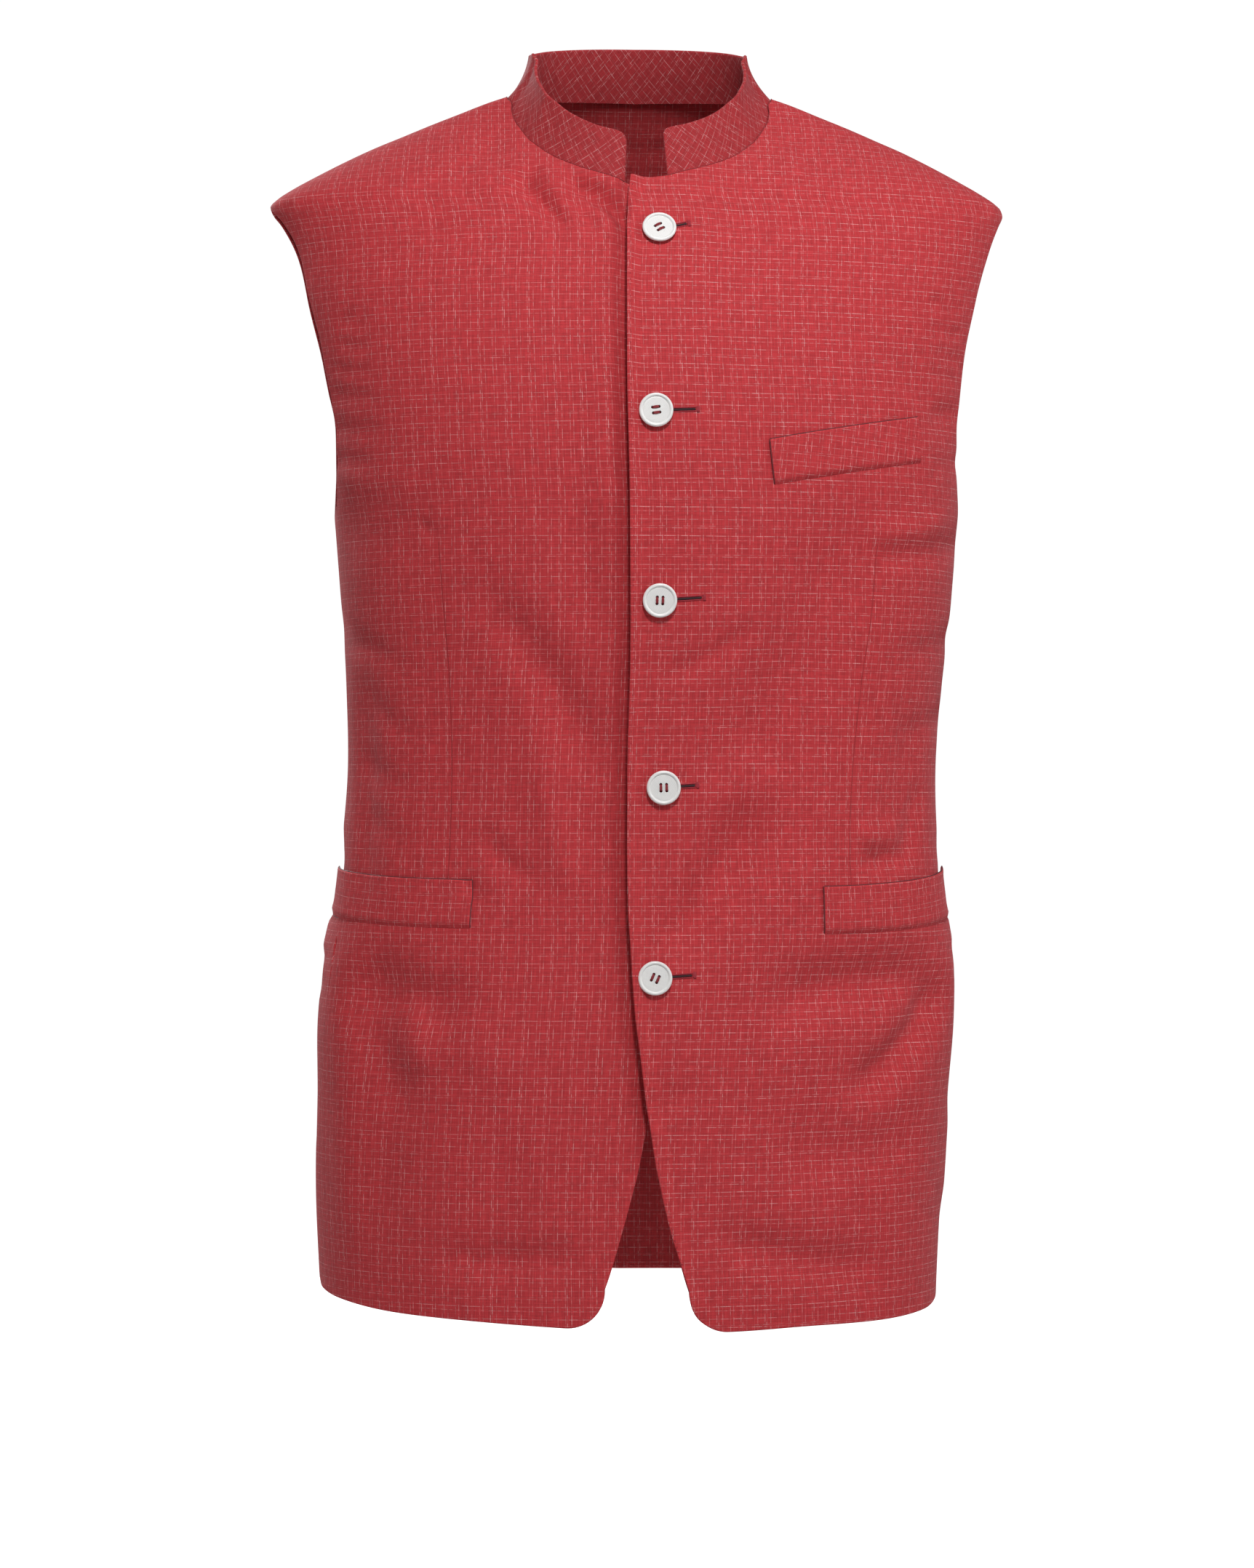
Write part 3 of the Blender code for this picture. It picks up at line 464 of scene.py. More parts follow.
# Creases of the sides and the back
BACK_CREASES = (
    Fold(175.0, -0.110, 160.0, -0.200, 0.0160, 0.0020, 0.004),
    Fold(-172.0, -0.120, -160.0, -0.230, 0.0140, 0.0018, -0.004),
    Fold(140.0, -0.330, 118.0, -0.352, 0.0100, 0.0022, 0.004),
    Fold(-145.0, -0.345, -120.0, -0.362, 0.0090, 0.0022, -0.003),
    Fold(172.0, -0.410, 140.0, -0.440, 0.0100, 0.0018, 0.004),
    Fold(-160.0, -0.440, -130.0, -0.462, 0.0100, 0.0016, -0.004),
    Fold(170.0, -0.500, 168.0, -0.700, 0.0160, 0.0024, 0.003),
    Fold(-172.0, -0.520, -174.0, -0.705, 0.0180, 0.0022, -0.003),
    Fold(104.0, -0.180, 118.0, -0.240, 0.0080, 0.0020, 0.002),
    Fold(-104.0, -0.190, -119.0, -0.250, 0.0080, 0.0020, -0.002),
    Fold(100.0, -0.300, 104.0, -0.460, 0.0100, 0.0020, 0.002),
    Fold(-100.0, -0.310, -103.0, -0.470, 0.0100, 0.0020, -0.002),
)

CREASES = FRONT_CREASES + BACK_CREASES

# Hollows of the panels behind the open ends of the hip pockets
HOLLOWS = (
    Fold(-89.0, -0.456, -87.0, -0.506, 0.018, 0.0020, 0.000),
    Fold(89.0, -0.458, 87.0, -0.504, 0.016, 0.0016, 0.000),
    Fold(-92.0, -0.530, -90.0, -0.556, 0.024, 0.0008, 0.000),
)

# Welts on the fronts: angles and heights of both ends, and the turn of the weave in degrees
WELTS = {
    "welt_hip_left": Welt(
        1, 46.5, 87.0, 0.0, -0.5148, -0.5062, -0.4862, -0.4758, 2.0, 0.0006, 0.5),
    "welt_hip_right": Welt(
        -1, 47.0, 88.0, 0.0, -0.5110, -0.5042, -0.4819, -0.4756, 2.0, 0.0006, -0.5),
    "welt_chest": Welt(
        1, 29.6, 62.6, -0.8, -0.2486, -0.2323, -0.2216, -0.2048, 1.0, 0.0001, 13.0),
}

# Buttons down the front, with the outer ends of their buttonholes
BUTTON_SPOTS = (
    ButtonSpot("button_1", 0.0078, -0.0960, 30.0, 0.0257, -0.0922),
    ButtonSpot("button_2", 0.0043, -0.2054, 8.0, 0.0291, -0.2045),
    ButtonSpot("button_3", 0.0067, -0.3166, 88.0, 0.0329, -0.3149),
    ButtonSpot("button_4", 0.0095, -0.4270, 92.0, 0.0297, -0.4257),
    ButtonSpot("button_5", 0.0044, -0.5400, 66.0, 0.0279, -0.5383),
)

# Waist darts of the fronts
DARTS = (
    Dart(1, 53.5, -0.272, 53.0, -0.487, 0.0070),
    Dart(-1, -51.6, -0.270, -52.5, -0.484, 0.0070),
)

# Shares of a dart's length where its full intake is reached, and where it ends
DART_FULL = 0.75
DART_END = 1.03

# The check, charted in shares of its repeat from the left and from above: the
# pale weft yarns, then the pale warp yarns, each with the dashes that show
WEFT_CHARTS = (
    (
        Yarn(0.100, 1.00, (Dash(0.25, 0.69), Dash(0.92, 1.18))),
        Yarn(0.530, 0.95, (Dash(0.25, 0.59), Dash(0.79, 1.13))),
        Yarn(0.830, 0.78, (Dash(0.07, 0.18), Dash(0.56, 0.97))),
    ),
    (
        Yarn(0.245, 0.75, (Dash(0.04, 0.29), Dash(0.41, 0.54), Dash(0.70, 0.83))),
        Yarn(0.760, 0.55, (Dash(0.02, 0.28), Dash(0.67, 0.85))),
    ),
)
WARP_CHARTS = (
    (
        Yarn(0.100, 0.90, (Dash(0.40, 0.66), Dash(0.98, 1.10))),
        Yarn(0.175, 1.00, (Dash(0.08, 0.37), Dash(0.66, 0.76))),
        Yarn(0.345, 0.85, (Dash(0.37, 0.72), Dash(0.83, 0.97))),
    ),
    (
        Yarn(0.665, 0.75, (Dash(0.15, 0.40), Dash(0.80, 0.98))),
        Yarn(0.800, 0.80, (Dash(0.06, 0.28), Dash(0.48, 0.74))),
    ),
)


def smooth_step(value):
    """Ease from 0 to 1."""
    value = np.clip(value, 0.0, 1.0)
    return value * value * (3.0 - 2.0 * value)


def smooth_curve(rows, key, name, samples=1200):
    """Sample one column of a table on a smooth curve that never overshoots."""
    place = np.array([getattr(row, key) for row in rows])
    value = np.array([getattr(row, name) for row in rows])
    order = np.argsort(place)
    place = place[order]
    value = value[order]
    step = np.diff(place)
    slope = np.diff(value) / step
    tangent = np.zeros(len(place))
    tangent[0] = slope[0]
    tangent[-1] = slope[-1]
    for i in range(1, len(place) - 1):
        if slope[i - 1] * slope[i] > 0.0:
            before = 2.0 * step[i] + step[i - 1]
            after = step[i] + 2.0 * step[i - 1]
            tangent[i] = (before + after) / (before / slope[i - 1] + after / slope[i])
    fine = np.linspace(place[0], place[-1], samples)
    cell = np.clip(np.searchsorted(place, fine) - 1, 0, len(step) - 1)
    t = (fine - place[cell]) / step[cell]
    start = (1.0 + 2.0 * t) * (1.0 - t) ** 2 * value[cell]
    start_slope = t * (1.0 - t) ** 2 * step[cell] * tangent[cell]
    end = t * t * (3.0 - 2.0 * t) * value[cell + 1]
    end_slope = t * t * (t - 1.0) * step[cell] * tangent[cell + 1]
    return fine, start + start_slope + end + end_slope


def curves_of(rows, key):
    """Smooth curves for every column of a table."""
    names = [name for name in rows[0]._fields if name != key]
    return {name: smooth_curve(rows, key, name) for name in names}


CURVES = {
    "section": curves_of(SECTIONS, "height"),
    "edge": curves_of(FRONT_EDGE, "height"),
    "armhole": curves_of(ARMHOLE, "height"),
    "seam": curves_of(SIDE_SEAM, "height"),
    "neck": curves_of(NECKLINE, "angle"),
    "hem": curves_of(HEM, "angle"),
    "stand": curves_of(STAND, "angle"),
}


def read(table, name, place):
    """Read a smooth column at any place along it."""
    return np.interp(place, *CURVES[table][name])


def section_at(height):
    """Half width, depth in front, depth behind and corner of the section at a height."""
    return [read("section", name, height) for name in ("half_width", "front", "back", "corner")]


def signed_angle(angle):
    """An angle from the front, less than half a turn either way."""
    return np.where(angle > np.pi, angle - 2.0 * np.pi, angle)


def neckline_at(signed):
    """The neckline's height at an angle from the front."""
    return read("neck", "height", np.degrees(np.abs(signed)))


def plain_body(angle, height):
    """Points of the cloth's outer side before any fold; angles in radians."""
    half, front, back, power = section_at(height)
    depth = np.where(np.cos(angle) > 0.0, front, back)
    across = (np.abs(np.sin(angle)) / half) ** power
    along = (np.abs(np.cos(angle)) / depth) ** power
    radius = (across + along) ** (-1.0 / power)
    x = read("section", "centre", height) + radius * np.sin(angle)
    y = -radius * np.cos(angle)
    rise = BACK_NECK_RISE * smooth_step(y / BACK_NECK_REACH)
    rise = rise * smooth_step((height + BACK_NECK_DEPTH) / BACK_NECK_DEPTH)
    return np.stack([x, y, height + rise], axis=-1)


def normals_of(surface, angle, height):
    """Outward unit normals of a surface given as a function of angle and height."""
    turn = 0.012
    climb = 0.0012
    around = surface(angle + turn, height) - surface(angle - turn, height)
    upward = surface(angle, height + climb) - surface(angle, height - climb)
    normal = np.cross(around, upward)
    return normal / np.linalg.norm(normal, axis=-1, keepdims=True)


def fold_depth(angle, height, folds):
    """Sum of the folds at a place on the body, inward above zero."""
    arc = np.degrees(angle) * ARC_PER_DEGREE
    total = np.zeros(np.shape(arc))
    for fold in folds:
        start = np.array([fold.angle_a * ARC_PER_DEGREE, fold.height_a])
        run = np.array([fold.angle_b * ARC_PER_DEGREE, fold.height_b]) - start
        length = np.hypot(*run)
        along = ((arc - start[0]) * run[0] + (height - start[1]) * run[1]) / length ** 2
        aside = ((arc - start[0]) * run[1] - (height - start[1]) * run[0]) / length
        bowed = aside - fold.bow * np.sin(np.pi * np.clip(along, 0.0, 1.0))
        fade = smooth_step((along + FOLD_OVERRUN) / FOLD_FADE)
        fade = fade * smooth_step((1.0 + FOLD_OVERRUN - along) / FOLD_FADE)
        total = total + fold.depth * fade * np.exp(-((bowed / fold.width) ** 2))
    return total


def body(angle, height):
    """Points of the cloth's outer side with its folds and creases."""
    signed = signed_angle(angle)
    depth = fold_depth(angle, height, FOLDS) + fold_depth(signed, height, CREASES)
    depth = depth * smooth_step((neckline_at(signed) - height) / NECK_CALM)
    normal = normals_of(plain_body, angle, height)
    return plain_body(angle, height) - normal * depth[..., None]


def hollowed_body(angle, height):
    """The same points, drawn in behind the open ends of the hip pockets."""
    signed = signed_angle(angle)
    depth = fold_depth(signed, height, HOLLOWS)
    return body(angle, height) - normals_of(plain_body, angle, height) * depth[..., None]


def angle_at_depth(forward, height, side):
    """Polar angle where a section passes a distance forward of the middle."""
    half, front, back, power = section_at(height)
    depth = np.where(forward > 0.0, front, back)
    across = half * (1.0 - (np.abs(forward) / depth) ** power) ** (1.0 / power)
    return np.arctan2(side * across, forward)


def angle_at_width(x, height):
    """Polar angle where a section's front passes a distance from the centre plane."""
    half, front, _, power = section_at(height)
    across = x - read("section", "centre", height)
    forward = front * (1.0 - (np.abs(across) / half) ** power) ** (1.0 / power)
    return np.arctan2(across, forward)


def side_name(side):
    """The table column of a side: +1 is the wearer's left."""
    return "left" if side > 0 else "right"


def front_edge_angle(height, side):
    """Angle of a front's inner end: its button edge, then the neckline above it."""
    edge = angle_at_width(-side * read("edge", side_name(side), height), height)
    places, heights = CURVES["neck"]["height"]
    rising = places <= 90.0
    neck = np.radians(np.interp(height, heights[rising], places[rising]))
    return side * np.maximum(side * edge, neck)


def side_edge_angle(height, side, piece):
    """Angle of a panel's outer end: side seam, armhole, then shoulder seam."""
    seam = read("seam", side_name(side), height)
    in_armhole = (height < SHOULDER_TIP) & (height > ARMHOLE_BOTTOM)
    reach = np.where(in_armhole, read("armhole", piece, height), 0.0)
    slit = np.where(height < VENT_START, VENT_SLIT, -SEAM_LAP)
    toward = 1.0 if piece == "front" else -1.0
    on_shoulder = height >= SHOULDER_TIP
    forward = np.where(on_shoulder, 0.0, seam) + toward * (reach + slit)
    return angle_at_depth(forward, height, side)


def row_heights():
    """Heights of the panel rows from the hem up, closer together at both ends."""
    heights = [HEM_ROW + step for step in EDGE_STEPS[:-1]]
    for level, upper in zip(LEVELS, LEVELS[1:]):
        start = max(level.height, HEM_ROW + EDGE_STEPS[-1])
        end = min(upper.height, NECK_TOP - EDGE_STEPS[-1] * TOP_SQUEEZE)
        heights.extend(np.linspace(start, end, level.steps, endpoint=False))
    heights.extend(NECK_TOP - step * TOP_SQUEEZE for step in reversed(EDGE_STEPS))
    return np.array(heights)


def shares_across(width, columns):
    """Shares of the way across each row, closer together at both edges."""
    steps = np.array(EDGE_STEPS)
    scale = np.minimum(1.0, 0.2 * width / steps[-1])
    near = steps[None, :] * (scale / width)[:, None]
    middle = np.linspace(0.0, 1.0, columns - 2 * (len(steps) - 1) + 1)[None, :]
    start = near[:, -1:]
    between = start + (1.0 - 2.0 * start) * middle
    return np.concatenate([near[:, :-1], between, 1.0 - near[:, ::-1][:, 1:]], axis=1)


def round_off(distance, radius):
    """Rise of a hem at a rounded corner, by the distance from its edge."""
    inside = np.clip(radius - distance, 0.0, radius)
    return radius - np.sqrt(radius * radius - inside * inside)


def hem_rows(height, angle, distance_a, distance_b, corner_a, corner_b):
    """Bend the lowest rows to the hem with its rounded corners."""
    hem = read("hem", "height", np.degrees(angle))
    hem = hem + round_off(distance_a, corner_a) + round_off(distance_b, corner_b)
    weight = np.clip((HEM_BLEND - height) / (HEM_BLEND - HEM_ROW), 0.0, 1.0)
    return height + (hem - HEM_ROW) * weight ** HEM_EASE


def girth_from(points, end):
    """Distance along each row from its first or last point."""
    steps = np.linalg.norm(np.diff(points, axis=1), axis=-1)
    run = np.concatenate([np.zeros((len(points), 1)), np.cumsum(steps, axis=1)], axis=1)
    return run if end == 0 else run[:, -1:] - run


def row_angles(first, last, rows, columns):
    """Angles across every row between two edges."""
    rough = first + (last - first) * np.linspace(0.0, 1.0, 41)[None, :]
    width = girth_from(plain_body(rough, np.broadcast_to(rows, rough.shape)), 0)[:, -1]
    return first + (last - first) * shares_across(np.maximum(width, 0.0005), columns)


def front_grid(side):
    """Angles and heights of a front panel's points, row by row from the hem."""
    rows = row_heights()[:, None]
    inner = front_edge_angle(rows, side)
    outer = side_edge_angle(rows, side, "front")
    angle = row_angles(inner, outer, rows, FRONT_COLUMNS)
    height = np.broadcast_to(rows, angle.shape)
    flat = plain_body(angle, height)
    inner_run = girth_from(flat, 0)
    outer_run = girth_from(flat, 1)
    return angle, hem_rows(height, angle, inner_run, outer_run, FRONT_CORNER, SIDE_CORNER)


def back_grid():
    """Angles and heights of the back's points, from the wearer's left to the right."""
    rows = row_heights()[:, None]
    first = side_edge_angle(rows, -1, "back") + 2.0 * np.pi
    last = side_edge_angle(rows, 1, "back")
    angle = row_angles(last, first, rows, BACK_COLUMNS)
    height = np.broadcast_to(rows, angle.shape)
    flat = plain_body(angle, height)
    left_run = girth_from(flat, 0)
    right_run = girth_from(flat, 1)
    signed = signed_angle(angle)
    height = hem_rows(height, signed, left_run, right_run, SIDE_CORNER, SIDE_CORNER)
    drop = smooth_step((height - COLLAR_FRONT) / (NECK_TOP - COLLAR_FRONT))
    return angle, height + (neckline_at(signed) - NECK_TOP) * drop


def lap(angle, height, side):
    """How far a front stands off the body: the wearer's left laps over the right."""
    x = plain_body(angle, height)[..., 0]
    over = CLOTH + LAP_GAP
    cover = 1.0 - smooth_step((x - LAP_START) / (LAP_END - LAP_START))
    side_line = side_edge_angle(height, side, "front")
    near_side = 1.0 - smooth_step(np.abs(angle - side_line) / FLARE_ANGLE)
    below_vent = smooth_step((VENT_TOP - height) / FLARE_FADE)
    below_vent = below_vent * smooth_step((height - HEM_ROW) / FLARE_HEM_FADE)
    flare = VENT_FLARE * near_side * below_vent
    from_edge = x + read("edge", "left", height)
    lift = EDGE_LIFT * (1.0 - smooth_step(from_edge / EDGE_LIFT_REACH))
    sink = EDGE_SINK * np.exp(-((from_edge / EDGE_SINK_REACH) ** 2))
    return flare + (over * cover + lift if side > 0 else -sink)


def front_surface(side, under=body):
    """The outer surface of a front panel, as a function of angle and height."""
    def surface(angle, height):
        out = lap(angle, height, side)
        return under(angle, height) + normals_of(plain_body, angle, height) * out[..., None]
    return surface


def strip_distance(points, edge, reach=8):
    """Distance of rows of points from the edge line that each row starts on."""
    best = np.full(points.shape[:2], 1.0)
    rows = np.arange(len(points))
    for shift in range(-reach, reach + 1):
        cell = np.clip(rows + shift, 0, len(edge) - 2)
        start = edge[cell][:, None]
        run = edge[cell + 1][:, None] - start
        size = np.maximum(np.sum(run * run, axis=-1), 1e-14)
        t = np.clip(np.sum((points - start) * run, axis=-1) / size, 0.0, 1.0)
        gap = np.linalg.norm(points - start - run * t[..., None], axis=-1)
        best = np.minimum(best, gap)
    return best


def rim_distances(points, depth=13):
    """Distances from the first and last column and the first and last row."""
    far = np.full(points.shape[:2], FAR_FROM_EDGE)
    sides = {name: far.copy() for name in ("first", "last", "low", "top")}
    sides["first"][:, :depth] = strip_distance(points[:, :depth], points[:, 0])
    sides["last"][:, -depth:] = strip_distance(points[:, -depth:], points[:, -1])
    across = points.transpose(1, 0, 2)
    sides["low"][:depth] = strip_distance(across[:, :depth], across[:, 0]).T
    sides["top"][-depth:] = strip_distance(across[:, -depth:], across[:, -1]).T
    return sides


def roundness(distance, radius):
    """Share of the full thickness that is left near an edge rounded over a radius."""
    t = 1.0 - np.clip(distance / radius, 0.0, 1.0)
    return np.maximum(np.sqrt(1.0 - t * t), THINNEST)


def round_rim(outer, inner, radii):
    """Round a wall's edges; returns its two sides and the distance from a free edge."""
    middle = (outer + inner) / 2.0
    sides = rim_distances(middle)
    share = np.ones(middle.shape[:2])
    free = np.full(middle.shape[:2], FAR_FROM_EDGE)
    for name, radius in radii.items():
        radius = np.broadcast_to(radius, share.shape)
        share = np.minimum(share, roundness(sides[name], radius))
        free = np.minimum(free, np.where(radius >= FREE_EDGE, sides[name], FAR_FROM_EDGE))
    half = (outer - middle) * share[..., None]
    return middle + half, middle - half, free


def relax_flat(points, flat, rounds):
    """Flatten a small grid of points, keeping every length, as a paper pattern is."""
    pairs = (
        ((slice(None), slice(0, -1)), (slice(None), slice(1, None))),
        ((slice(0, -1), slice(None)), (slice(1, None), slice(None))),
        ((slice(0, -1), slice(0, -1)), (slice(1, None), slice(1, None))),
        ((slice(0, -1), slice(1, None)), (slice(1, None), slice(0, -1))),
    )
    lengths = [np.linalg.norm(points[a] - points[b], axis=-1) for a, b in pairs]
    for _ in range(rounds):
        move = np.zeros(flat.shape)
        for (a, b), length in zip(pairs, lengths):
            run = flat[b] - flat[a]
            size = np.maximum(np.linalg.norm(run, axis=-1), 1e-9)
            push = run * ((size - length) / size * 0.5)[..., None]
            move[a] += push
            move[b] -= push
        flat = flat + move * 0.3
    return flat


def lengths_along(line):
    """Distance of each point of a line from its start."""
    steps = np.linalg.norm(np.diff(line, axis=0), axis=-1)
    return np.concatenate([[0.0], np.cumsum(steps)])


def turned(points, angle):
    """Flat points turned by an angle in radians."""
    spin = np.array([[np.cos(angle), -np.sin(angle)], [np.sin(angle), np.cos(angle)]])
    return points @ spin.T


def thinned(count, step):
    """Every so many places of a row, with its last."""
    return np.unique(np.append(np.arange(0, count, step), count - 1))


def flat_cut(points, rounds=1500):
    """A panel's flat cut in metres, from a thinned grid of its points."""
    rows = thinned(points.shape[0], 7)
    coarse = points[np.ix_(rows, thinned(points.shape[1], 6))]
    run = girth_from(coarse, 0)
    middle = coarse.shape[1] // 2
    up = lengths_along(coarse[:, middle])[:, None]
    start = run - run[:, -1:] / 2.0
    flat = np.stack([start, np.broadcast_to(up, start.shape)], axis=-1)
    flat = relax_flat(coarse, flat, rounds)
    low = int(len(rows) * 0.25)
    high = int(len(rows) * 0.55)
    grain = flat[high, middle] - flat[low, middle]
    return turned(flat, np.arctan2(grain[0], grain[1]))


def climb_table():
    """The cloth's length up the middle of a front against its height."""
    heights = np.linspace(-0.80, 0.006, 700)
    half, front, _, power = section_at(heights)
    beside_middle = 0.085
    across = np.minimum(beside_middle / half, 0.93)
    depth = front * (1.0 - across ** power) ** (1.0 / power)
    return heights, lengths_along(np.stack([heights, depth], axis=-1))


def weave_of(angle, height, middle):
    """Places on the weave: along each level row from the middle, and up the cloth."""
    rise = plain_body(angle, height)[..., 2] - height
    share = np.linspace(0.0, 1.0, 60)
    fine = middle + (angle[..., None] - middle) * share
    points = plain_body(fine, np.broadcast_to(height[..., None], fine.shape))
    run = np.sum(np.linalg.norm(np.diff(points, axis=-2), axis=-1), axis=-1)
    heights, climb = climb_table()
    across = np.sign(angle - middle) * run
    return np.stack([across, np.interp(height + rise, heights, climb)], axis=-1)


def grid_place(vertex, columns, rows):
    """Row and column of a vertex of a grid that spans -1 to 1."""
    column = round((vertex.co.x + 1.0) / 2.0 * columns)
    row = round((vertex.co.y + 1.0) / 2.0 * rows)
    return row, column


def add_object(name, mesh, material):
    """Put a finished mesh in the scene with its material."""
    mesh.materials.append(material)
    piece = bpy.data.objects.new(name, mesh)
    bpy.context.scene.collection.objects.link(piece)
    return piece


def mesh_from(name, shape):
    """The finished mesh of a shape in the making."""
    mesh = bpy.data.meshes.new(name)
    shape.to_mesh(mesh)
    shape.free()
    return mesh


def set_map(mesh, name, values):
    """A UV map from a pair of values at every vertex."""
    corner = np.zeros(len(mesh.loops), dtype=np.int32)
    mesh.loops.foreach_get("vertex_index", corner)
    layer = mesh.uv_layers.new(name=name)
    layer.data.foreach_set("uv", values[corner].astype(np.float32).ravel())


def set_field(mesh, name, values):
    """A number at every vertex."""
    field = mesh.attributes.new(name, "FLOAT", "POINT")
    field.data.foreach_set("value", values.astype(np.float32).ravel())


def add_wall(name, outer, inner, cut, fields, material):
    """A closed cloth wall between two grids of points, with its flat cut as UV map."""
    rows = outer.shape[0] - 1
    columns = outer.shape[1] - 1
    shape = bmesh.new()
    bmesh.ops.create_grid(shape, x_segments=columns, y_segments=rows, size=1.0)
    sheet = list(shape.verts)
    places = [grid_place(vertex, columns, rows) for vertex in sheet]
    grown = bmesh.ops.extrude_face_region(shape, geom=list(shape.faces), use_keep_orig=True)
    copies = [item for item in grown["geom"] if isinstance(item, bmesh.types.BMVert)]
    copy_places = [grid_place(vertex, columns, rows) for vertex in copies]
    for vertex, place in zip(sheet, places):
        vertex.co = Vector(inner[place])
    for vertex, place in zip(copies, copy_places):
        vertex.co = Vector(outer[place])
    bmesh.ops.recalc_face_normals(shape, faces=list(shape.faces))
    shape.verts.index_update()
    order = np.zeros((len(shape.verts), 2), dtype=np.int32)
    for vertex, place in zip(sheet + copies, places + copy_places):
        order[vertex.index] = place
    mesh = mesh_from(name, shape)
    mesh.shade_smooth()
    set_map(mesh, "cut", cut[order[:, 0], order[:, 1]])
    for field, values in fields.items():
        set_field(mesh, field, values[order[:, 0], order[:, 1]])
    return add_object(name, mesh, material)


def dart_fields(angle, height, side):
    """Distance from a front's dart, and how much cloth it has taken in there."""
    dart = [item for item in DARTS if item.side == side][0]
    t = (dart.height_top - height) / (dart.height_top - dart.height_low)
    line = np.radians(dart.angle_top + (dart.angle_low - dart.angle_top) * t)
    turn = 0.01
    reach = plain_body(angle + turn, height) - plain_body(angle - turn, height)
    metric = np.linalg.norm(reach, axis=-1) / (2.0 * turn)
    intake = dart.intake * smooth_step(t / DART_FULL) * (t < DART_END)
    return side * (angle - line) * metric, side * intake


def plug(tree, socket, value):
    """Link a socket, or set it where the value is plain."""
    if isinstance(value, bpy.types.NodeSocket):
        tree.links.new(value, socket)
    else:
        socket.default_value = value


def maths(tree, operation, first, second=0.0, third=0.0):
    """A Math node."""
    node = tree.nodes.new("ShaderNodeMath")
    node.operation = operation
    for socket, value in zip(node.inputs, (first, second, third)):
        plug(tree, socket, value)
    return node.outputs[0]


def sum_of(tree, *terms):
    """Add several values."""
    total = terms[0]
    for term in terms[1:]:
        total = maths(tree, "ADD", total, term)
    return total


def product(tree, *terms):
    """Multiply several values."""
    total = terms[0]
    for term in terms[1:]:
        total = maths(tree, "MULTIPLY", total, term)
    return total


def pair(tree, x, y, z=0.0):
    """A vector from separate values."""
    node = tree.nodes.new("ShaderNodeCombineXYZ")
    for socket, value in zip(node.inputs, (x, y, z)):
        plug(tree, socket, value)
    return node.outputs[0]


def noise(tree, vector, scale, detail=2.0):
    """A noise value round one half."""
    node = tree.nodes.new("ShaderNodeTexNoise")
    node.inputs["Scale"].default_value = scale
    node.inputs["Detail"].default_value = detail
    plug(tree, node.inputs["Vector"], vector)
    return node.outputs["Fac"]


def ranged(tree, value, low, high, to_low, to_high):
    """Map a range of values to another, clamped."""
    node = tree.nodes.new("ShaderNodeMapRange")
    for socket, item in zip(node.inputs, (value, low, high, to_low, to_high)):
        plug(tree, socket, item)
    return node.outputs[0]


def blend_colours(tree, share, first, second, mode="MIX"):
    """Mix two colours."""
    node = tree.nodes.new("ShaderNodeMix")
    node.data_type = "RGBA"
    node.blend_type = mode
    plug(tree, node.inputs["Factor"], share)
    plug(tree, node.inputs["A"], first)
    plug(tree, node.inputs["B"], second)
    return [out for out in node.outputs if out.type == "RGBA"][0]


def attribute(tree, name):
    """A number kept at the vertices."""
    node = tree.nodes.new("ShaderNodeAttribute")
    node.attribute_name = name
    return node.outputs["Fac"]


def charted(tree, place, channels):
    """Up to three values that follow charts of (share of the repeat, value) stops."""
    node = tree.nodes.new("ShaderNodeValToRGB")
    ramp = node.color_ramp
    places = sorted({stop for stops in channels for stop, _ in stops})
    curves = [np.interp(places, *zip(*sorted(stops))) for stops in channels]
    curves.extend([np.zeros(len(places))] * (3 - len(curves)))
    ramp.elements.remove(ramp.elements[-1])
    for count, colour in enumerate(zip(*curves)):
        stop = ramp.elements[0] if count == 0 else ramp.elements.new(places[count])
        stop.position = places[count]
        stop.color = (*colour, 1.0)
    plug(tree, node.inputs["Fac"], place)
    return node.outputs["Color"]


def line_stops(yarn, half_width):
    """Stops for the thin line where a pale yarn runs."""
    return [
        (yarn.place - half_width, 0.0),
        (yarn.place, yarn.strength),
        (yarn.place + half_width, 0.0),
    ]


def dash_stops(yarn):
    """Stops for the stretches where a yarn shows on the face, and its faint rest."""
    soft = DASH_SOFTNESS
    stops = []
    for dash in yarn.dashes:
        stops.extend([(dash.start - soft, FAINT_YARN), (dash.start + soft, 1.0)])
        end = dash.end
        if end > 1.0:
            stops.extend([(1.0, 1.0), (0.0, 1.0)])
            end = end - 1.0
        stops.extend([(end - soft, 1.0), (end + soft, FAINT_YARN)])
    return stops


def broken_yarns(tree, across, along, yarns, half_width):
    """Broken pale yarns: lines at places across, cut into dashes along."""
    lines = charted(tree, across, [line_stops(yarn, half_width) for yarn in yarns])
    dashes = charted(tree, along, [dash_stops(yarn) for yarn in yarns])
    node = tree.nodes.new("ShaderNodeVectorMath")
    node.operation = "DOT_PRODUCT"
    plug(tree, node.inputs[0], lines)
    plug(tree, node.inputs[1], dashes)
    return node.outputs["Value"]


def new_material(name):
    """A new material with its node tree and its shader."""
    material = bpy.data.materials.new(name)
    material.use_nodes = True
    tree = material.node_tree
    return material, tree, tree.nodes["Principled BSDF"]


def set_sockets(tree, shader, sockets):
    """Set or link the shader's sockets by their names."""
    for name, value in sockets.items():
        plug(tree, shader.inputs[name], value)


def split(tree, vector):
    """The three values of a vector."""
    node = tree.nodes.new("ShaderNodeSeparateXYZ")
    plug(tree, node.inputs[0], vector)
    return node.outputs[0], node.outputs[1], node.outputs[2]


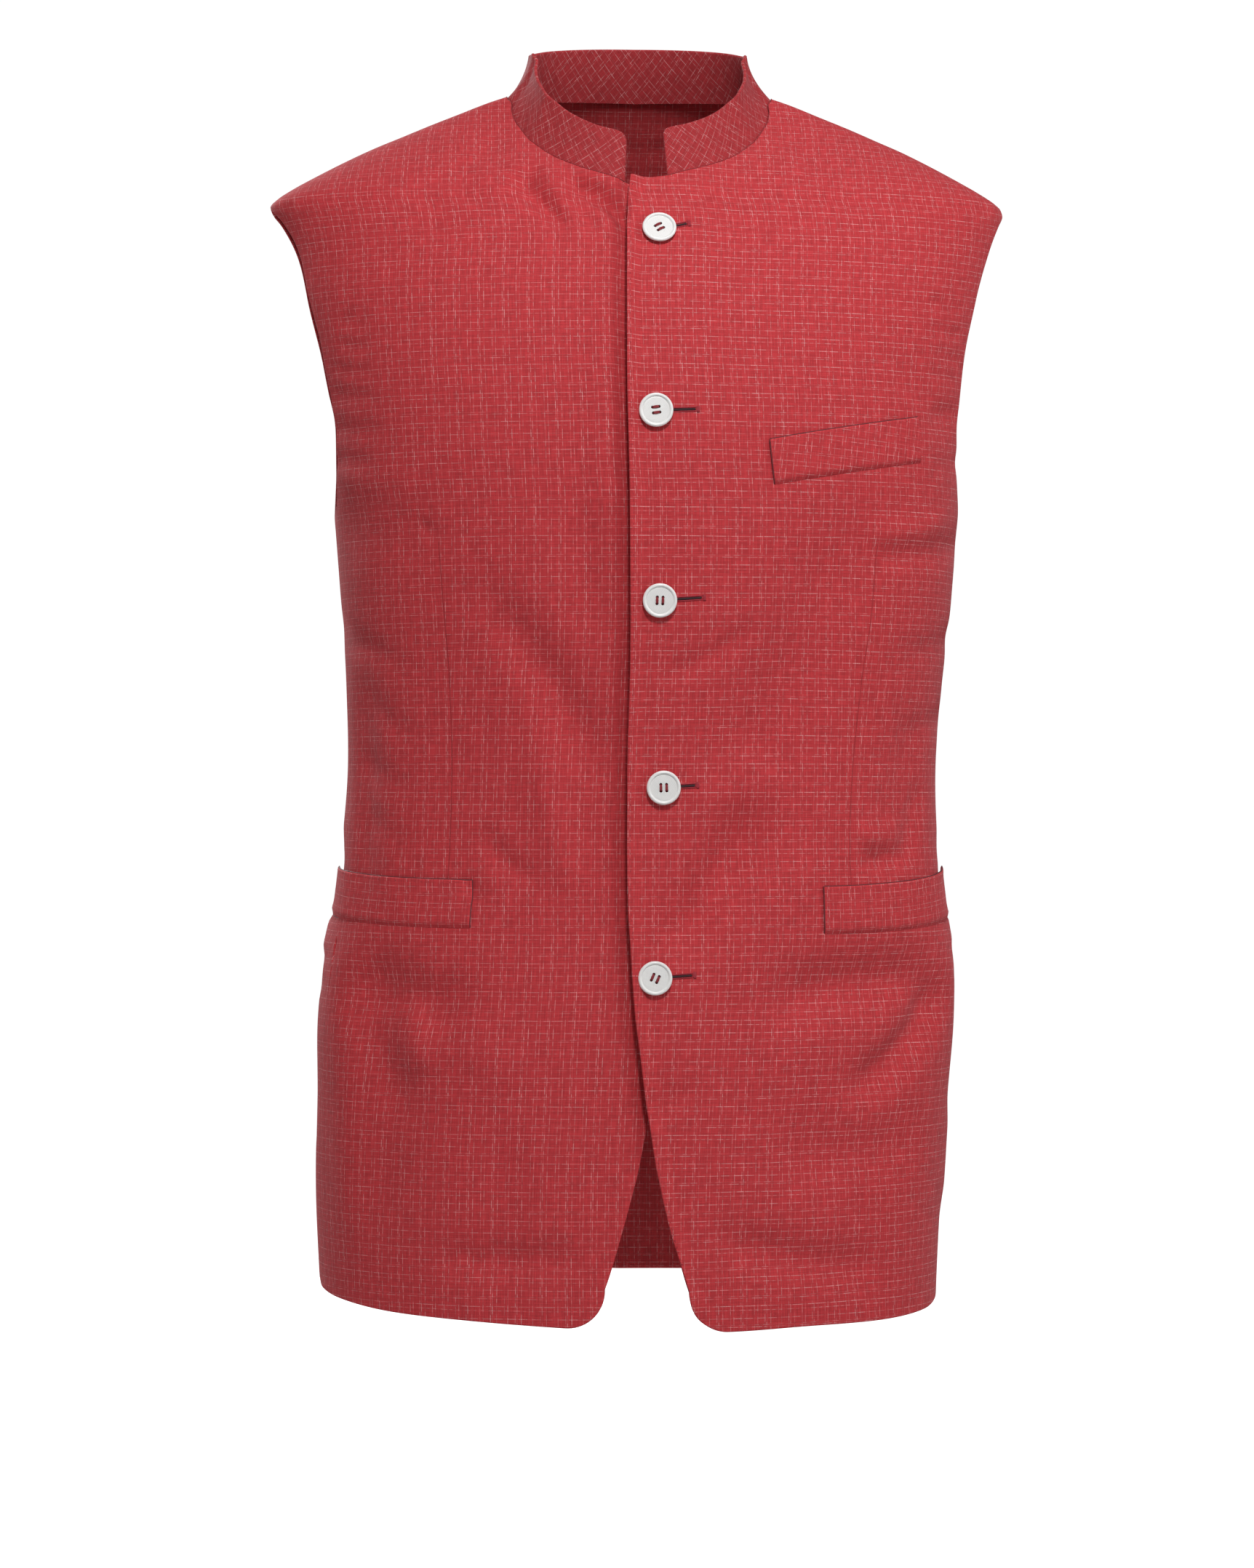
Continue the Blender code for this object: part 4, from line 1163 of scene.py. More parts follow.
def uv_place(tree, name):
    """The places of a UV map."""
    node = tree.nodes.new("ShaderNodeUVMap")
    node.uv_map = name
    return node.outputs[0]


def object_place(tree):
    """The places of a piece's own points."""
    return tree.nodes.new("ShaderNodeTexCoord").outputs["Object"]


def seen_by_camera(tree):
    """One where the camera looks, and zero for the light that bounces."""
    return tree.nodes.new("ShaderNodeLightPath").outputs["Is Camera Ray"]


def tinted(tree, colour, tone):
    """A colour made lighter or darker by a value."""
    return blend_colours(tree, 1.0, (*colour, 1.0), pair(tree, tone, tone, tone), "MULTIPLY")


def relief(tree, height, depth):
    """The bumps of a pattern, half strong, at their depth."""
    node = tree.nodes.new("ShaderNodeBump")
    node.inputs["Strength"].default_value = 0.5
    node.inputs["Distance"].default_value = depth
    plug(tree, node.inputs["Height"], height)
    return node.outputs[0]


def waves(tree, place, pitch):
    """Even waves along a place."""
    return maths(tree, "SINE", product(tree, place, 2.0 * np.pi / pitch))


def beads(tree, place, pitch, depth):
    """The small swellings of a yarn as it goes over and under."""
    wave = maths(tree, "COSINE", product(tree, place, 2.0 * np.pi / pitch))
    return maths(tree, "MULTIPLY_ADD", wave, depth / 2.0, 1.0 - depth / 2.0)


def streaks(tree, u, v, scale_u, scale_v, slice_at):
    """A noise value drawn out along the yarns, from its own slice of the noise."""
    place = pair(tree, product(tree, u, scale_u), product(tree, v, scale_v), slice_at)
    return noise(tree, place, 1.0, 0.0)


def swayed(tree, value, reach, wander):
    """A place that wanders a little to either side."""
    return maths(tree, "MULTIPLY_ADD", maths(tree, "SUBTRACT", wander, 0.5), reach, value)


def yarn_cover(tree, across, along, charts, half_width, *factors):
    """How far the pale yarns of one way cover the red ground."""
    shown = [broken_yarns(tree, across, along, yarns, half_width) for yarns in charts]
    return product(tree, sum_of(tree, *shown), *factors)


# weft and warp set how strongly a piece's pale yarns show: painted light, for how the light catches
# their floats on that piece.
def cloth_material(name, settings, weft=1.0, warp=1.0, painted_shade=1.0, darted=False):
    """Red handloom cloth with broken pale yarns both ways."""
    material, tree, shader = new_material(name)
    flat = uv_place(tree, "cut")
    u, v, _ = split(tree, flat)
    wander = noise(tree, flat, 26.0, 0.0)
    drift = noise(tree, pair(tree, v, u, 3.0), 24.0, 0.0)
    if darted:
        away = attribute(tree, "dart")
        beyond = maths(tree, "GREATER_THAN", away, 0.0)
        u = maths(tree, "MULTIPLY_ADD", beyond, attribute(tree, "intake"), u)
    cell = product(tree, beads(tree, u, settings.pick, 1.0), beads(tree, v, settings.pick, 1.0))
    u = swayed(tree, u, WEFT_WANDER, wander)
    v = swayed(tree, v, WARP_WANDER, drift)
    column = maths(tree, "FRACT", product(tree, u, 1.0 / settings.check_width))
    row = maths(tree, "FRACT", product(tree, v, -1.0 / settings.check_height))
    fine_u = settings.yarn_width / settings.check_width
    fine_v = settings.yarn_width / settings.check_height
    weft_bead = beads(tree, u, settings.pick, 0.75)
    warp_bead = beads(tree, v, settings.pick, 0.75)
    weft_slub = streaks(tree, u, v, SLUB_LENGTH, SLUB_FINENESS, 0.0)
    warp_slub = streaks(tree, u, v, SLUB_FINENESS, SLUB_LENGTH, 5.0)
    weft_slub = ranged(tree, weft_slub, 0.25, 0.75, 0.30, 1.20)
    warp_slub = ranged(tree, warp_slub, 0.25, 0.75, 0.25, 1.20)
    pale_weft = yarn_cover(tree, row, column, WEFT_CHARTS, fine_v, weft_bead, weft_slub, weft)
    pale_warp = yarn_cover(tree, column, row, WARP_CHARTS, fine_u, warp_bead, warp_slub, warp)
    pale = maths(tree, "MINIMUM", sum_of(tree, pale_weft, pale_warp), 1.0)
    weft_grain = streaks(tree, u, v, GRAIN_LENGTH, GRAIN_FINENESS, 9.0)
    warp_grain = streaks(tree, u, v, GRAIN_FINENESS, GRAIN_LENGTH, 12.0)
    tone = ranged(tree, sum_of(tree, weft_grain, warp_grain), 0.7, 1.3, 0.84, 1.14)
    shade = product(tree, tone, ranged(tree, cell, 0.0, 1.0, 0.95, 1.08))
    height = cell
    if darted:
        # The dart's stitched line: its colour darkened by up to three tenths as painted shade of
        # its groove, its pale yarns hidden and its relief sunk
        line = maths(tree, "ABSOLUTE", away)
        taken = maths(tree, "ABSOLUTE", attribute(tree, "intake"))
        stitched = maths(tree, "GREATER_THAN", taken, 0.0001)
        groove = product(tree, ranged(tree, line, 0.0001, DART_LINE, 1.0, 0.0), stitched)
        shade = product(tree, shade, maths(tree, "MULTIPLY_ADD", groove, -0.30, 1.0))
        pale = product(tree, pale, maths(tree, "SUBTRACT", 1.0, groove))
        height = maths(tree, "MULTIPLY_ADD", groove, -2.0, cell)
    rim = attribute(tree, "rim")
    # The last factor darkens a whole piece in colour, as painted shade; the rim is a tenth lighter
    # where the edge is worn.
    shade = product(tree, shade, ranged(tree, rim, 0.0, WORN_RIM, 1.10 * painted_shade, painted_shade))
    red = tinted(tree, settings.ground, shade)
    cover = product(tree, pale, settings.thread_cover)
    set_sockets(tree, shader, {
        "Base Color": blend_colours(tree, cover, red, (*settings.thread, 1.0)),
        "Roughness": ranged(tree, pale, 0.0, 1.0, 0.82, 0.66),
        "Normal": relief(tree, height, 0.00010),
        "Specular IOR Level": 0.22,
        "Sheen Weight": settings.sheen,
        "Sheen Roughness": 0.45,
        "Sheen Tint": (1.0, 0.62, 0.66, 1.0),
    })
    return material


def button_material(settings):
    """White plastic, satin on its rim and finely grained in the middle."""
    material, tree, shader = new_material("white_button")
    place = uv_place(tree, "face")
    x, y, _ = split(tree, place)
    radius = maths(tree, "SQRT", sum_of(tree, product(tree, x, x), product(tree, y, y)))
    middle = ranged(tree, radius, 0.0072, 0.0078, 1.0, 0.0)
    slope = waves(tree, sum_of(tree, x, product(tree, y, 0.55)), 0.00062)
    cross = waves(tree, maths(tree, "SUBTRACT", y, product(tree, x, 0.55)), 0.00105)
    canvas = product(tree, sum_of(tree, slope, product(tree, cross, 0.6)), middle)
    tint = ranged(tree, sum_of(tree, canvas, noise(tree, place, 900.0)), -1.0, 2.2, 0.93, 1.02)
    shade = product(tree, tint, ranged(tree, middle, 0.0, 1.0, 1.0, 0.95))
    set_sockets(tree, shader, {
        "Base Color": tinted(tree, settings.button, shade),
        "Roughness": ranged(tree, middle, 0.0, 1.0, 0.28, 0.5),
        "Normal": relief(tree, canvas, 0.00006),
        "Subsurface Weight": 0.08,
        "Subsurface Radius": (0.001, 0.001, 0.001),
    })
    return material


def sewing_material(name, colour):
    """Twisted sewing thread."""
    material, tree, shader = new_material(name)
    place = object_place(tree)
    x, y, z = split(tree, place)
    strand = waves(tree, sum_of(tree, x, z, product(tree, y, 0.5)), THREAD_TWIST)
    tone = ranged(tree, sum_of(tree, strand, noise(tree, place, 500.0)), -0.6, 1.6, 0.72, 1.2)
    set_sockets(tree, shader, {
        "Base Color": tinted(tree, colour, tone),
        "Roughness": ranged(tree, strand, -1.0, 1.0, 0.62, 0.48),
        "Normal": relief(tree, strand, 0.0001),
        "Sheen Weight": 0.05,
    })
    return material


def floor_material(settings):
    """A plain pale floor."""
    material, tree, shader = new_material("pale_floor")
    tone = ranged(tree, noise(tree, object_place(tree), 3.0), 0.3, 0.7, 0.985, 1.0)
    glow = product(tree, seen_by_camera(tree), settings.backdrop * 0.9)
    set_sockets(tree, shader, {
        "Base Color": tinted(tree, settings.floor, tone),
        "Roughness": 0.9,
        "Specular IOR Level": 0.1,
        "Emission Color": (1.0, 1.0, 1.0, 1.0),
        "Emission Strength": glow,
    })
    return material


def outer_radii(rows):
    """How far a panel's outer edge is rounded: less on the seams than where it is free."""
    on_side_seam = (rows >= VENT_START) & (rows < ARMHOLE_BOTTOM)
    return np.where(on_side_seam | (rows >= SHOULDER_TIP), SEAM_EDGE, FREE_EDGE)


def front_radii():
    """How far each edge of a front is rounded."""
    rows = row_heights()[:, None]
    inner = np.where(rows > COLLAR_FRONT - 0.0001, SEAM_EDGE, FREE_EDGE)
    return {"first": inner, "last": outer_radii(rows), "low": FREE_EDGE, "top": SEAM_EDGE}


def back_radii():
    """How far each edge of the back is rounded."""
    sides = outer_radii(row_heights()[:, None])
    return {"first": sides, "last": sides, "low": FREE_EDGE, "top": SEAM_EDGE}


def place_on_body(piece, slot, *nodes):
    """Fasten a piece to the jacket and stand it for its solids."""
    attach(piece, "root")
    if nodes:
        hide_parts(*nodes)


def add_panel(name, surface, grid, radii, middle, fields, material):
    """A front or the back, from its surface to its flat cut."""
    angle, height = grid
    outer = surface(angle, height)
    inner = outer - normals_of(surface, angle, height) * CLOTH
    outer, inner, rim = round_rim(outer, inner, radii)
    weave = weave_of(angle, height, middle)
    piece = add_wall(name + "_cloth", outer, inner, weave, dict(fields, rim=rim), material)
    place_on_body(piece, "cloth", name)
    return piece, flat_cut(plain_body(angle, height))


def collar_base(angle):
    """Points on the neckline, on whichever panel carries the collar there."""
    signed = signed_angle(angle)
    height = neckline_at(signed)
    left = front_surface(1)(signed, height)
    right = front_surface(-1)(signed, height)
    behind = hollowed_body(angle, height)
    on_front = np.abs(signed) < np.pi / 2.0
    front = np.where((signed > 0.0)[:, None], left, right)
    return np.where(on_front[:, None], front, behind)


def collar_profile(angle, base, share, into_wall):
    """Points of the collar at a share of its height, any depth into its wall."""
    away = np.degrees(np.abs(signed_angle(angle)))
    inset, rise, hollow = [read("stand", name, away) for name in ("inset", "rise", "hollow")]
    inward = np.stack([-np.sin(angle), np.cos(angle), np.zeros(len(angle))], axis=-1)
    upward = np.array([0.0, 0.0, 1.0])
    lean = inset * share + hollow * 4.0 * share * (1.0 - share)
    lean_rate = inset + hollow * 4.0 * (1.0 - 2.0 * share)
    climb = rise * share - COLLAR_SINK * (1.0 - share)
    wall = inward * rise[:, None] - upward * lean_rate[:, None]
    wall = wall / np.linalg.norm(wall, axis=-1, keepdims=True)
    point = base + inward * lean[:, None] + upward * climb[:, None]
    return point + wall * into_wall


def collar_line():
    """Angles of the collar's columns, evenly along the neckline, and their run."""
    last = 2.0 * np.pi - np.radians(COLLAR_END_RIGHT)
    fine = np.linspace(np.radians(COLLAR_END_LEFT), last, 1600)
    fine_run = lengths_along(collar_base(fine))
    run = shares_across(fine_run[-1:], COLLAR_COLUMNS)[0] * fine_run[-1]
    return np.interp(run, fine_run, fine), run


def collar_wall():
    """Both sides of the collar and its flat cut, turned onto the bias."""
    angle, run = collar_line()
    base = collar_base(angle)
    rise = float(read("stand", "rise", np.degrees(angle[0])))
    cut_off = round_off(run, COLLAR_CORNER) + round_off(run[-1] - run, COLLAR_CORNER)
    top = 1.0 - cut_off / rise
    up = shares_across(np.array([rise]), COLLAR_ROWS)[0]
    outer = np.array([collar_profile(angle, base, top * share, 0.0) for share in up])
    inner = np.array([collar_profile(angle, base, top * share, COLLAR_WALL) for share in up])
    along = np.broadcast_to(run, outer.shape[:2])
    tall = read("stand", "rise", 60.0) * COLLAR_SLOPE * up[:, None] * top[None, :]
    plain = np.stack([along, np.broadcast_to(tall, along.shape)], axis=-1)
    bias = COLLAR_BIAS * np.array([[1.0, 1.0], [-1.0, 1.0]])
    return outer, inner, plain, (plain + COLLAR_WEAVE_START) @ bias.T


def welt_grid(welt):
    """Angles and heights of a welt's points on its front."""
    across = shares_across(np.array([WELT_LONG]), WELT_COLUMNS)
    up = shares_across(np.array([WELT_TALL]), WELT_ROWS).T
    angle = np.radians(welt.angle_a + (welt.angle_b - welt.angle_a) * across + welt.lean * up)
    climb = across ** welt.bend
    low = welt.low_a + (welt.low_b - welt.low_a) * climb
    high = welt.high_a + (welt.high_b - welt.high_a) * climb
    height = low + (high - low) * up
    return welt.side * angle, height, across, up


def welt_wall(welt):
    """Both sides of a welt and its flat cut."""
    angle, height, across, up = welt_grid(welt)
    surface = front_surface(welt.side)
    normal = normals_of(surface, angle, height)
    open_end = smooth_step((across - WELT_GAPE_START) / (1.0 - WELT_GAPE_START))
    gape = welt.gape * open_end * up
    proud = smooth_step(up / WELT_ROOT)
    out = WELT_GAP * proud - (WELT_WALL - WELT_GAP) * (1.0 - proud) + gape
    inner = surface(angle, height) + normal * out[..., None]
    outer = inner + normal * WELT_WALL
    run = girth_from(outer, 0)
    tall = girth_from(outer.transpose(1, 0, 2), 0).T
    plain = np.stack([welt.side * run, tall], axis=-1)
    return outer, inner, plain, turned(plain, np.radians(welt.turn))


def front_frame(across, height, out):
    """A frame on the wearer's left front: X across, Y up, Z out of the cloth."""
    surface = front_surface(1)
    level = np.array([height])
    angle = angle_at_width(np.array([across]), level)
    point = surface(angle, level)[0]
    outward = Vector(normals_of(surface, angle, level)[0])
    upward = Vector((0.0, 0.0, 1.0))
    upward = (upward - outward * upward.dot(outward)).normalized()
    sideways = upward.cross(outward)
    turn = Matrix((sideways, upward, outward)).transposed().to_4x4()
    return Matrix.Translation(Vector(point) + outward * out) @ turn


def button_profile():
    """Radius and height pairs of half a button, from its back to its front centre."""
    shares = (
        (0.0, 0.0), (0.78, 0.0), (0.90, 0.16), (0.975, 0.38), (1.0, 0.60), (0.985, 0.80),
        (0.945, 0.94), (0.90, 1.0), (0.855, 0.97), (0.82, 0.87), (0.795, 0.72), (0.775, 0.66),
        (0.755, 0.70), (0.70, 0.715), (0.45, 0.70), (0.0, 0.70),
    )
    return [(BUTTON_RADIUS * wide, BUTTON_THICKNESS * tall) for wide, tall in shares]


def turned_mesh(name, profile, sides):
    """A closed turned mesh, spun from a profile that starts and ends on the axis."""
    shape = bmesh.new()
    points = [shape.verts.new((radius, 0.0, height)) for radius, height in profile]
    edges = [shape.edges.new(ends) for ends in zip(points, points[1:])]
    bmesh.ops.spin(
        shape, geom=points + edges, cent=(0.0, 0.0, 0.0), axis=(0.0, 0.0, 1.0),
        angle=2.0 * np.pi, steps=sides, use_merge=True)
    bmesh.ops.remove_doubles(shape, verts=list(shape.verts), dist=0.000001)
    bmesh.ops.recalc_face_normals(shape, faces=list(shape.faces))
    return mesh_from(name, shape)


def pierced_button():
    """One button with its four holes, its back on the XY plane."""
    blank_mesh = turned_mesh("button_blank", button_profile(), BUTTON_SIDES)
    blank = bpy.data.objects.new("button_blank", blank_mesh)
    bpy.context.scene.collection.objects.link(blank)
    shape = bmesh.new()
    for x in (-HOLE_SPREAD[0], HOLE_SPREAD[0]):
        for y in (-HOLE_SPREAD[1], HOLE_SPREAD[1]):
            bmesh.ops.create_cone(
                shape, cap_ends=True, segments=20, radius1=HOLE_RADIUS, radius2=HOLE_RADIUS,
                depth=BUTTON_THICKNESS * 4.0, matrix=Matrix.Translation((x, y, 0.0)))
    cutter = bpy.data.objects.new("button_pins", mesh_from("button_pins", shape))
    bpy.context.scene.collection.objects.link(cutter)
    cut = blank.modifiers.new("holes", "BOOLEAN")
    cut.operation = "DIFFERENCE"
    cut.solver = "EXACT"
    cut.object = cutter
    graph = bpy.context.evaluated_depsgraph_get()
    mesh = bpy.data.meshes.new_from_object(blank.evaluated_get(graph))
    bpy.data.objects.remove(blank, do_unlink=True)
    bpy.data.objects.remove(cutter, do_unlink=True)
    places = np.zeros(len(mesh.vertices) * 3, dtype=np.float32)
    mesh.vertices.foreach_get("co", places)
    set_map(mesh, "face", places.reshape(-1, 3)[:, :2])
    mesh.shade_smooth()
    mesh.set_sharp_from_angle(angle=0.8)
    return mesh


def sweep(shape, line, radius, sides=6):
    """Add a closed round strand along a line of points to a mesh being built."""
    path = [Vector(point) for point in line]
    rings = []
    for i, point in enumerate(path):
        ahead = path[min(i + 1, len(path) - 1)] - path[max(i - 1, 0)]
        turn = ahead.to_track_quat("Z", "Y").to_matrix().to_4x4()
        ring_radius = radius * (STRAND_TIP if i in (0, len(path) - 1) else 1.0)
        made = bmesh.ops.create_circle(
            shape, segments=sides, radius=ring_radius, matrix=Matrix.Translation(point) @ turn)
        ring = set(made["verts"])
        rings.append([edge for edge in shape.edges if ring.issuperset(edge.verts)])
    for below, above in zip(rings, rings[1:]):
        bmesh.ops.bridge_loops(shape, edges=below + above)
    bmesh.ops.contextual_create(shape, geom=rings[0])
    bmesh.ops.contextual_create(shape, geom=rings[-1])


def finish_strands(name, shape, material):
    """Close a mesh of strands and put it in the scene."""
    bmesh.ops.recalc_face_normals(shape, faces=list(shape.faces))
    mesh = mesh_from(name, shape)
    mesh.shade_smooth()
    return add_object(name, mesh, material)


def button_thread(spot, material):
    """The two thread bars that hold a button, each of four strands."""
    shape = bmesh.new()
    turn = Matrix.Rotation(np.radians(spot.turn), 4, "Z")
    place = front_frame(spot.across, spot.height, BUTTON_LIFT) @ turn
    for y in (-HOLE_SPREAD[1], HOLE_SPREAD[1]):
        for strand in THREAD_STRANDS:
            path = []
            for t in np.linspace(-1.0, 1.0, 9):
                x = HOLE_SPREAD[0] * 1.05 * t
                arch = THREAD_ARCH * (1.0 - abs(t) ** 6) - THREAD_PLUNGE * abs(t) ** 14
                side = y + strand * THREAD_SPREAD * (1.0 - 0.25 * abs(t))
                lift = THREAD_HEAP * (1.5 - abs(strand))
                path.append(place @ Vector((x, side, BUTTON_FACE + arch + lift)))
            sweep(shape, path, THREAD_RADIUS)
    return finish_strands(spot.name + "_thread", shape, material)


def hole_points(spot, shares, aside, out):
    """Points on the front along a buttonhole, aside of it and out of the cloth."""
    surface = front_surface(1)
    run_x = spot.hole_across - spot.across
    run_z = spot.hole_height - spot.height
    length = np.hypot(run_x, run_z)
    x = spot.across + run_x * shares - aside * run_z / length
    z = spot.height + run_z * shares + aside * run_x / length
    angle = angle_at_width(x, z)
    outward = normals_of(surface, angle, z) * np.broadcast_to(out, x.shape)[..., None]
    return surface(angle, z) + outward


def add_buttonhole(spot, thread, dark):
    """A worked buttonhole: two rolled lips, a dark strand in its slit as painted shade, and the bar
    at its end.
    """
    worked = bmesh.new()
    length = float(np.hypot(spot.hole_across - spot.across, spot.hole_height - spot.height))
    end = 1.0 - SLIT_END / length
    points = 90
    ripple = LIP_RIPPLE * np.cos(np.arange(points) * np.pi)
    for aside in (-LIP_ASIDE, LIP_ASIDE):
        shares = np.linspace(SLIT_START, end, points)
        line = hole_points(spot, shares, np.full(points, aside), LIP_LIFT + ripple)
        sweep(worked, line, LIP_RADIUS, 7)
    up = np.linspace(-TACK_HALF, TACK_HALF, 9)
    swell = TACK_LIFT + TACK_SWELL * (1.0 - (up / TACK_REACH) ** 2)
    for strand in np.linspace(-1.0, 1.0, 5):
        place = np.full(len(up), 1.0 + strand * TACK_STEP / length)
        sweep(worked, hole_points(spot, place, up, swell), TACK_RADIUS, 7)
    slit = bmesh.new()
    line = hole_points(spot, np.linspace(SLIT_START, end, 24), np.zeros(24), SLIT_LIFT)
    sweep(slit, line, SLIT_RADIUS)
    for word, shape, material in (("buttonhole", worked, thread), ("slit", slit, dark)):
        name = spot.name.replace("button", word)
        place_on_body(finish_strands(name, shape, material), "cloth")


def add_stitches(name, line, outward, pitch, length, material):
    """A row of small sunk stitches along a line of points on the cloth."""
    run = lengths_along(line)
    places = np.arange(pitch, run[-1] - pitch / 2.0, pitch)
    shape = bmesh.new()
    size = Matrix.Diagonal((length / 2.0, STITCH_HALF_WIDTH, STITCH_HALF_HEIGHT, 1.0))

    def point_at(values, place):
        """A point of a line, or its outward way, at a distance along it."""
        return Vector([np.interp(place, run, values[:, i]) for i in range(3)])

    for count, place in enumerate(places):
        place = place + STITCH_WANDER * np.sin(count * 2.4)
        point = point_at(line, place)
        ahead = point_at(line, place + 0.001) - point
        out = point_at(outward, place).normalized()
        ahead = (ahead - out * ahead.dot(out)).normalized()
        turn = Matrix((ahead, out.cross(ahead), out)).transposed().to_4x4()
        matrix = Matrix.Translation(point + out * STITCH_LIFT) @ turn @ size
        bmesh.ops.create_uvsphere(shape, u_segments=6, v_segments=4, radius=1.0, matrix=matrix)
    place_on_body(finish_strands(name, shape, material), "cloth")


def add_welt_shade_strands(name, outer, inner, material):
    """Dark strands along a welt's foot and end and along its mouth above: painted shade of its sunk
    seams and open mouth.
    """
    shape = bmesh.new()
    middle = inner * 0.75 + outer * 0.25
    foot = inner[0] * 0.1 + outer[0] * 0.9
    lines = ((middle[-1], MOUTH_RADIUS), (foot, FOOT_RADIUS), (middle[:, 0], END_RADIUS))
    for line, radius in lines:
        sweep(shape, line[::2], radius)
    place_on_body(finish_strands(name + "_seams", shape, material), "cloth")


class JacketCloth(bpy.types.PropertyGroup):
    """The cloth of the jacket."""

    ground: FloatVectorProperty(
        name="Red yarn", description="Colour of the cloth's ground", subtype="COLOR",
        size=3, min=0.0, max=1.0, default=(0.470, 0.034, 0.041))
    thread: FloatVectorProperty(
        name="Pale yarn", description="Colour of the broken check", subtype="COLOR",
        size=3, min=0.0, max=1.0, default=(0.86, 0.50, 0.50))
    thread_cover: FloatProperty(
        name="Pale yarn cover", description="How strongly the pale yarns show",
        subtype="FACTOR", min=0.0, max=1.0, default=0.82)
    check_width: FloatProperty(
        name="Check width", description="Repeat of the check across the cloth",
        unit="LENGTH", min=0.002, default=0.0149)
    check_height: FloatProperty(
        name="Check height", description="Repeat of the check up the cloth",
        unit="LENGTH", min=0.002, default=0.0169)
    yarn_width: FloatProperty(
        name="Yarn half width", description="Half the width of a pale yarn, with its soft sides",
        unit="LENGTH", min=0.0001, default=0.00030)
    pick: FloatProperty(
        name="Pick", description="Distance from one float of a yarn to the next",
        unit="LENGTH", min=0.0002, default=0.00080)
    sheen: FloatProperty(
        name="Sheen", description="Soft light on the nap where the cloth turns away",
        subtype="FACTOR", min=0.0, max=1.0, default=0.12)


class JacketTrim(bpy.types.PropertyGroup):
    """Buttons and sewing."""

    button: FloatVectorProperty(
        name="Button", description="Colour of the buttons", subtype="COLOR",
        size=3, min=0.0, max=1.0, default=(0.82, 0.81, 0.795))
    button_thread: FloatVectorProperty(
        name="Button thread", description="Colour of the thread in the buttons",
        subtype="COLOR", size=3, min=0.0, max=1.0, default=(0.25, 0.012, 0.020))
    sewing: FloatVectorProperty(
        name="Sewing thread", description="Colour of buttonholes and edge stitches",
        subtype="COLOR", size=3, min=0.0, max=1.0, default=(0.36, 0.012, 0.026))
    # The seam colour is for the dark strands along the welts: painted shade of their sunk seams and
    # mouths.
    seam: FloatVectorProperty(
        name="Seam line", description="Colour of the sunk seam lines",
        subtype="COLOR", size=3, min=0.0, max=1.0, default=(0.14, 0.008, 0.013))
    stitch_pitch: FloatProperty(
        name="Stitch pitch", description="Distance between edge stitches",
        unit="LENGTH", min=0.001, default=0.0036)
    stitch_inset: FloatProperty(
        name="Stitch inset", description="Distance of the edge stitches from the edge",
        unit="LENGTH", min=0.0005, default=0.0019)


class JacketStage(bpy.types.PropertyGroup):
    """Floor, light and camera."""

    floor: FloatVectorProperty(
        name="Floor", description="Colour of the floor", subtype="COLOR",
        size=3, min=0.0, max=1.0, default=(0.62, 0.62, 0.62))
    floor_height: FloatProperty(
        name="Floor height", description="Height of the floor below the neck",
        unit="LENGTH", default=-1.02)
    key_power: FloatProperty(
        name="Key light", description="Power of the soft key light",
        unit="POWER", min=0.0, default=37.0)
    sky: FloatProperty(
        name="Sky", description="Strength of the even light from all round",
        min=0.0, default=0.16)
    backdrop: FloatProperty(
        name="Backdrop", description="Brightness of the white behind the jacket",
        min=0.0, default=1.02)
    distance: FloatProperty(
        name="Camera distance", description="From the camera to the jacket's middle",
        unit="LENGTH", min=0.5, default=2.6)
    azimuth: FloatProperty(
        name="Camera turn", description="Turn of the camera round the jacket",
        subtype="ANGLE", default=float(np.radians(-3.0)))
    lens: FloatProperty(
        name="Lens", description="Focal length in millimetres", min=10.0, default=96.475)


class JACKET_OT_fronts(bpy.types.Operator):
    """Model both fronts of the jacket"""

    bl_idname = "jacket.fronts"
    bl_label = "Fronts"

    def execute(self, context):
        settings = context.scene.jacket_cloth
        # The two fronts show their pale yarns at different strengths: painted light, for how the
        # light catches the floats on each.
        for side, name, weft, warp in ((1, "front_left", 1.0, 0.85), (-1, "front_right", 0.7, 1.0)):
            material = cloth_material("check_" + name, settings, weft, warp, darted=True)
            angle, height = front_grid(side)
            away, intake = dart_fields(angle, height, side)
            fields = {"dart": away, "intake": intake}
            surface = front_surface(side, hollowed_body)
            piece, cut = add_panel(
                name, surface, (angle, height), front_radii(), 0.0, fields, material)
        return {"FINISHED"}


class JACKET_OT_back(bpy.types.Operator):
    """Model the back of the jacket"""

    bl_idname = "jacket.back"
    bl_label = "Back"

    def execute(self, context):
        # The back's pale weft is weakened to 0.9: painted light.
        material = cloth_material("check_back", context.scene.jacket_cloth, 0.9, 1.0)
        piece, cut = add_panel(
            "back", hollowed_body, back_grid(), back_radii(), np.pi, {}, material)
        return {"FINISHED"}


class JACKET_OT_collar(bpy.types.Operator):
    """Model the band collar"""

    bl_idname = "jacket.collar"
    bl_label = "Collar"

    def execute(self, context):
        outer, inner, plain, cut = collar_wall()
        radii = {"first": FREE_EDGE, "last": FREE_EDGE, "low": SEAM_EDGE, "top": FREE_EDGE}
        outer, inner, rim = round_rim(outer, inner, radii)
        # The collar is the same cloth, its colour darkened to 0.72 as painted shade and its pale
        # yarns weakened to 0.8 as painted light.
        material = cloth_material("check_collar", context.scene.jacket_cloth, 0.8, 0.8, 0.72)
        piece = add_wall("collar_cloth", outer, inner, cut, {"rim": rim}, material)
        place_on_body(piece, "cloth", "collar")
        return {"FINISHED"}


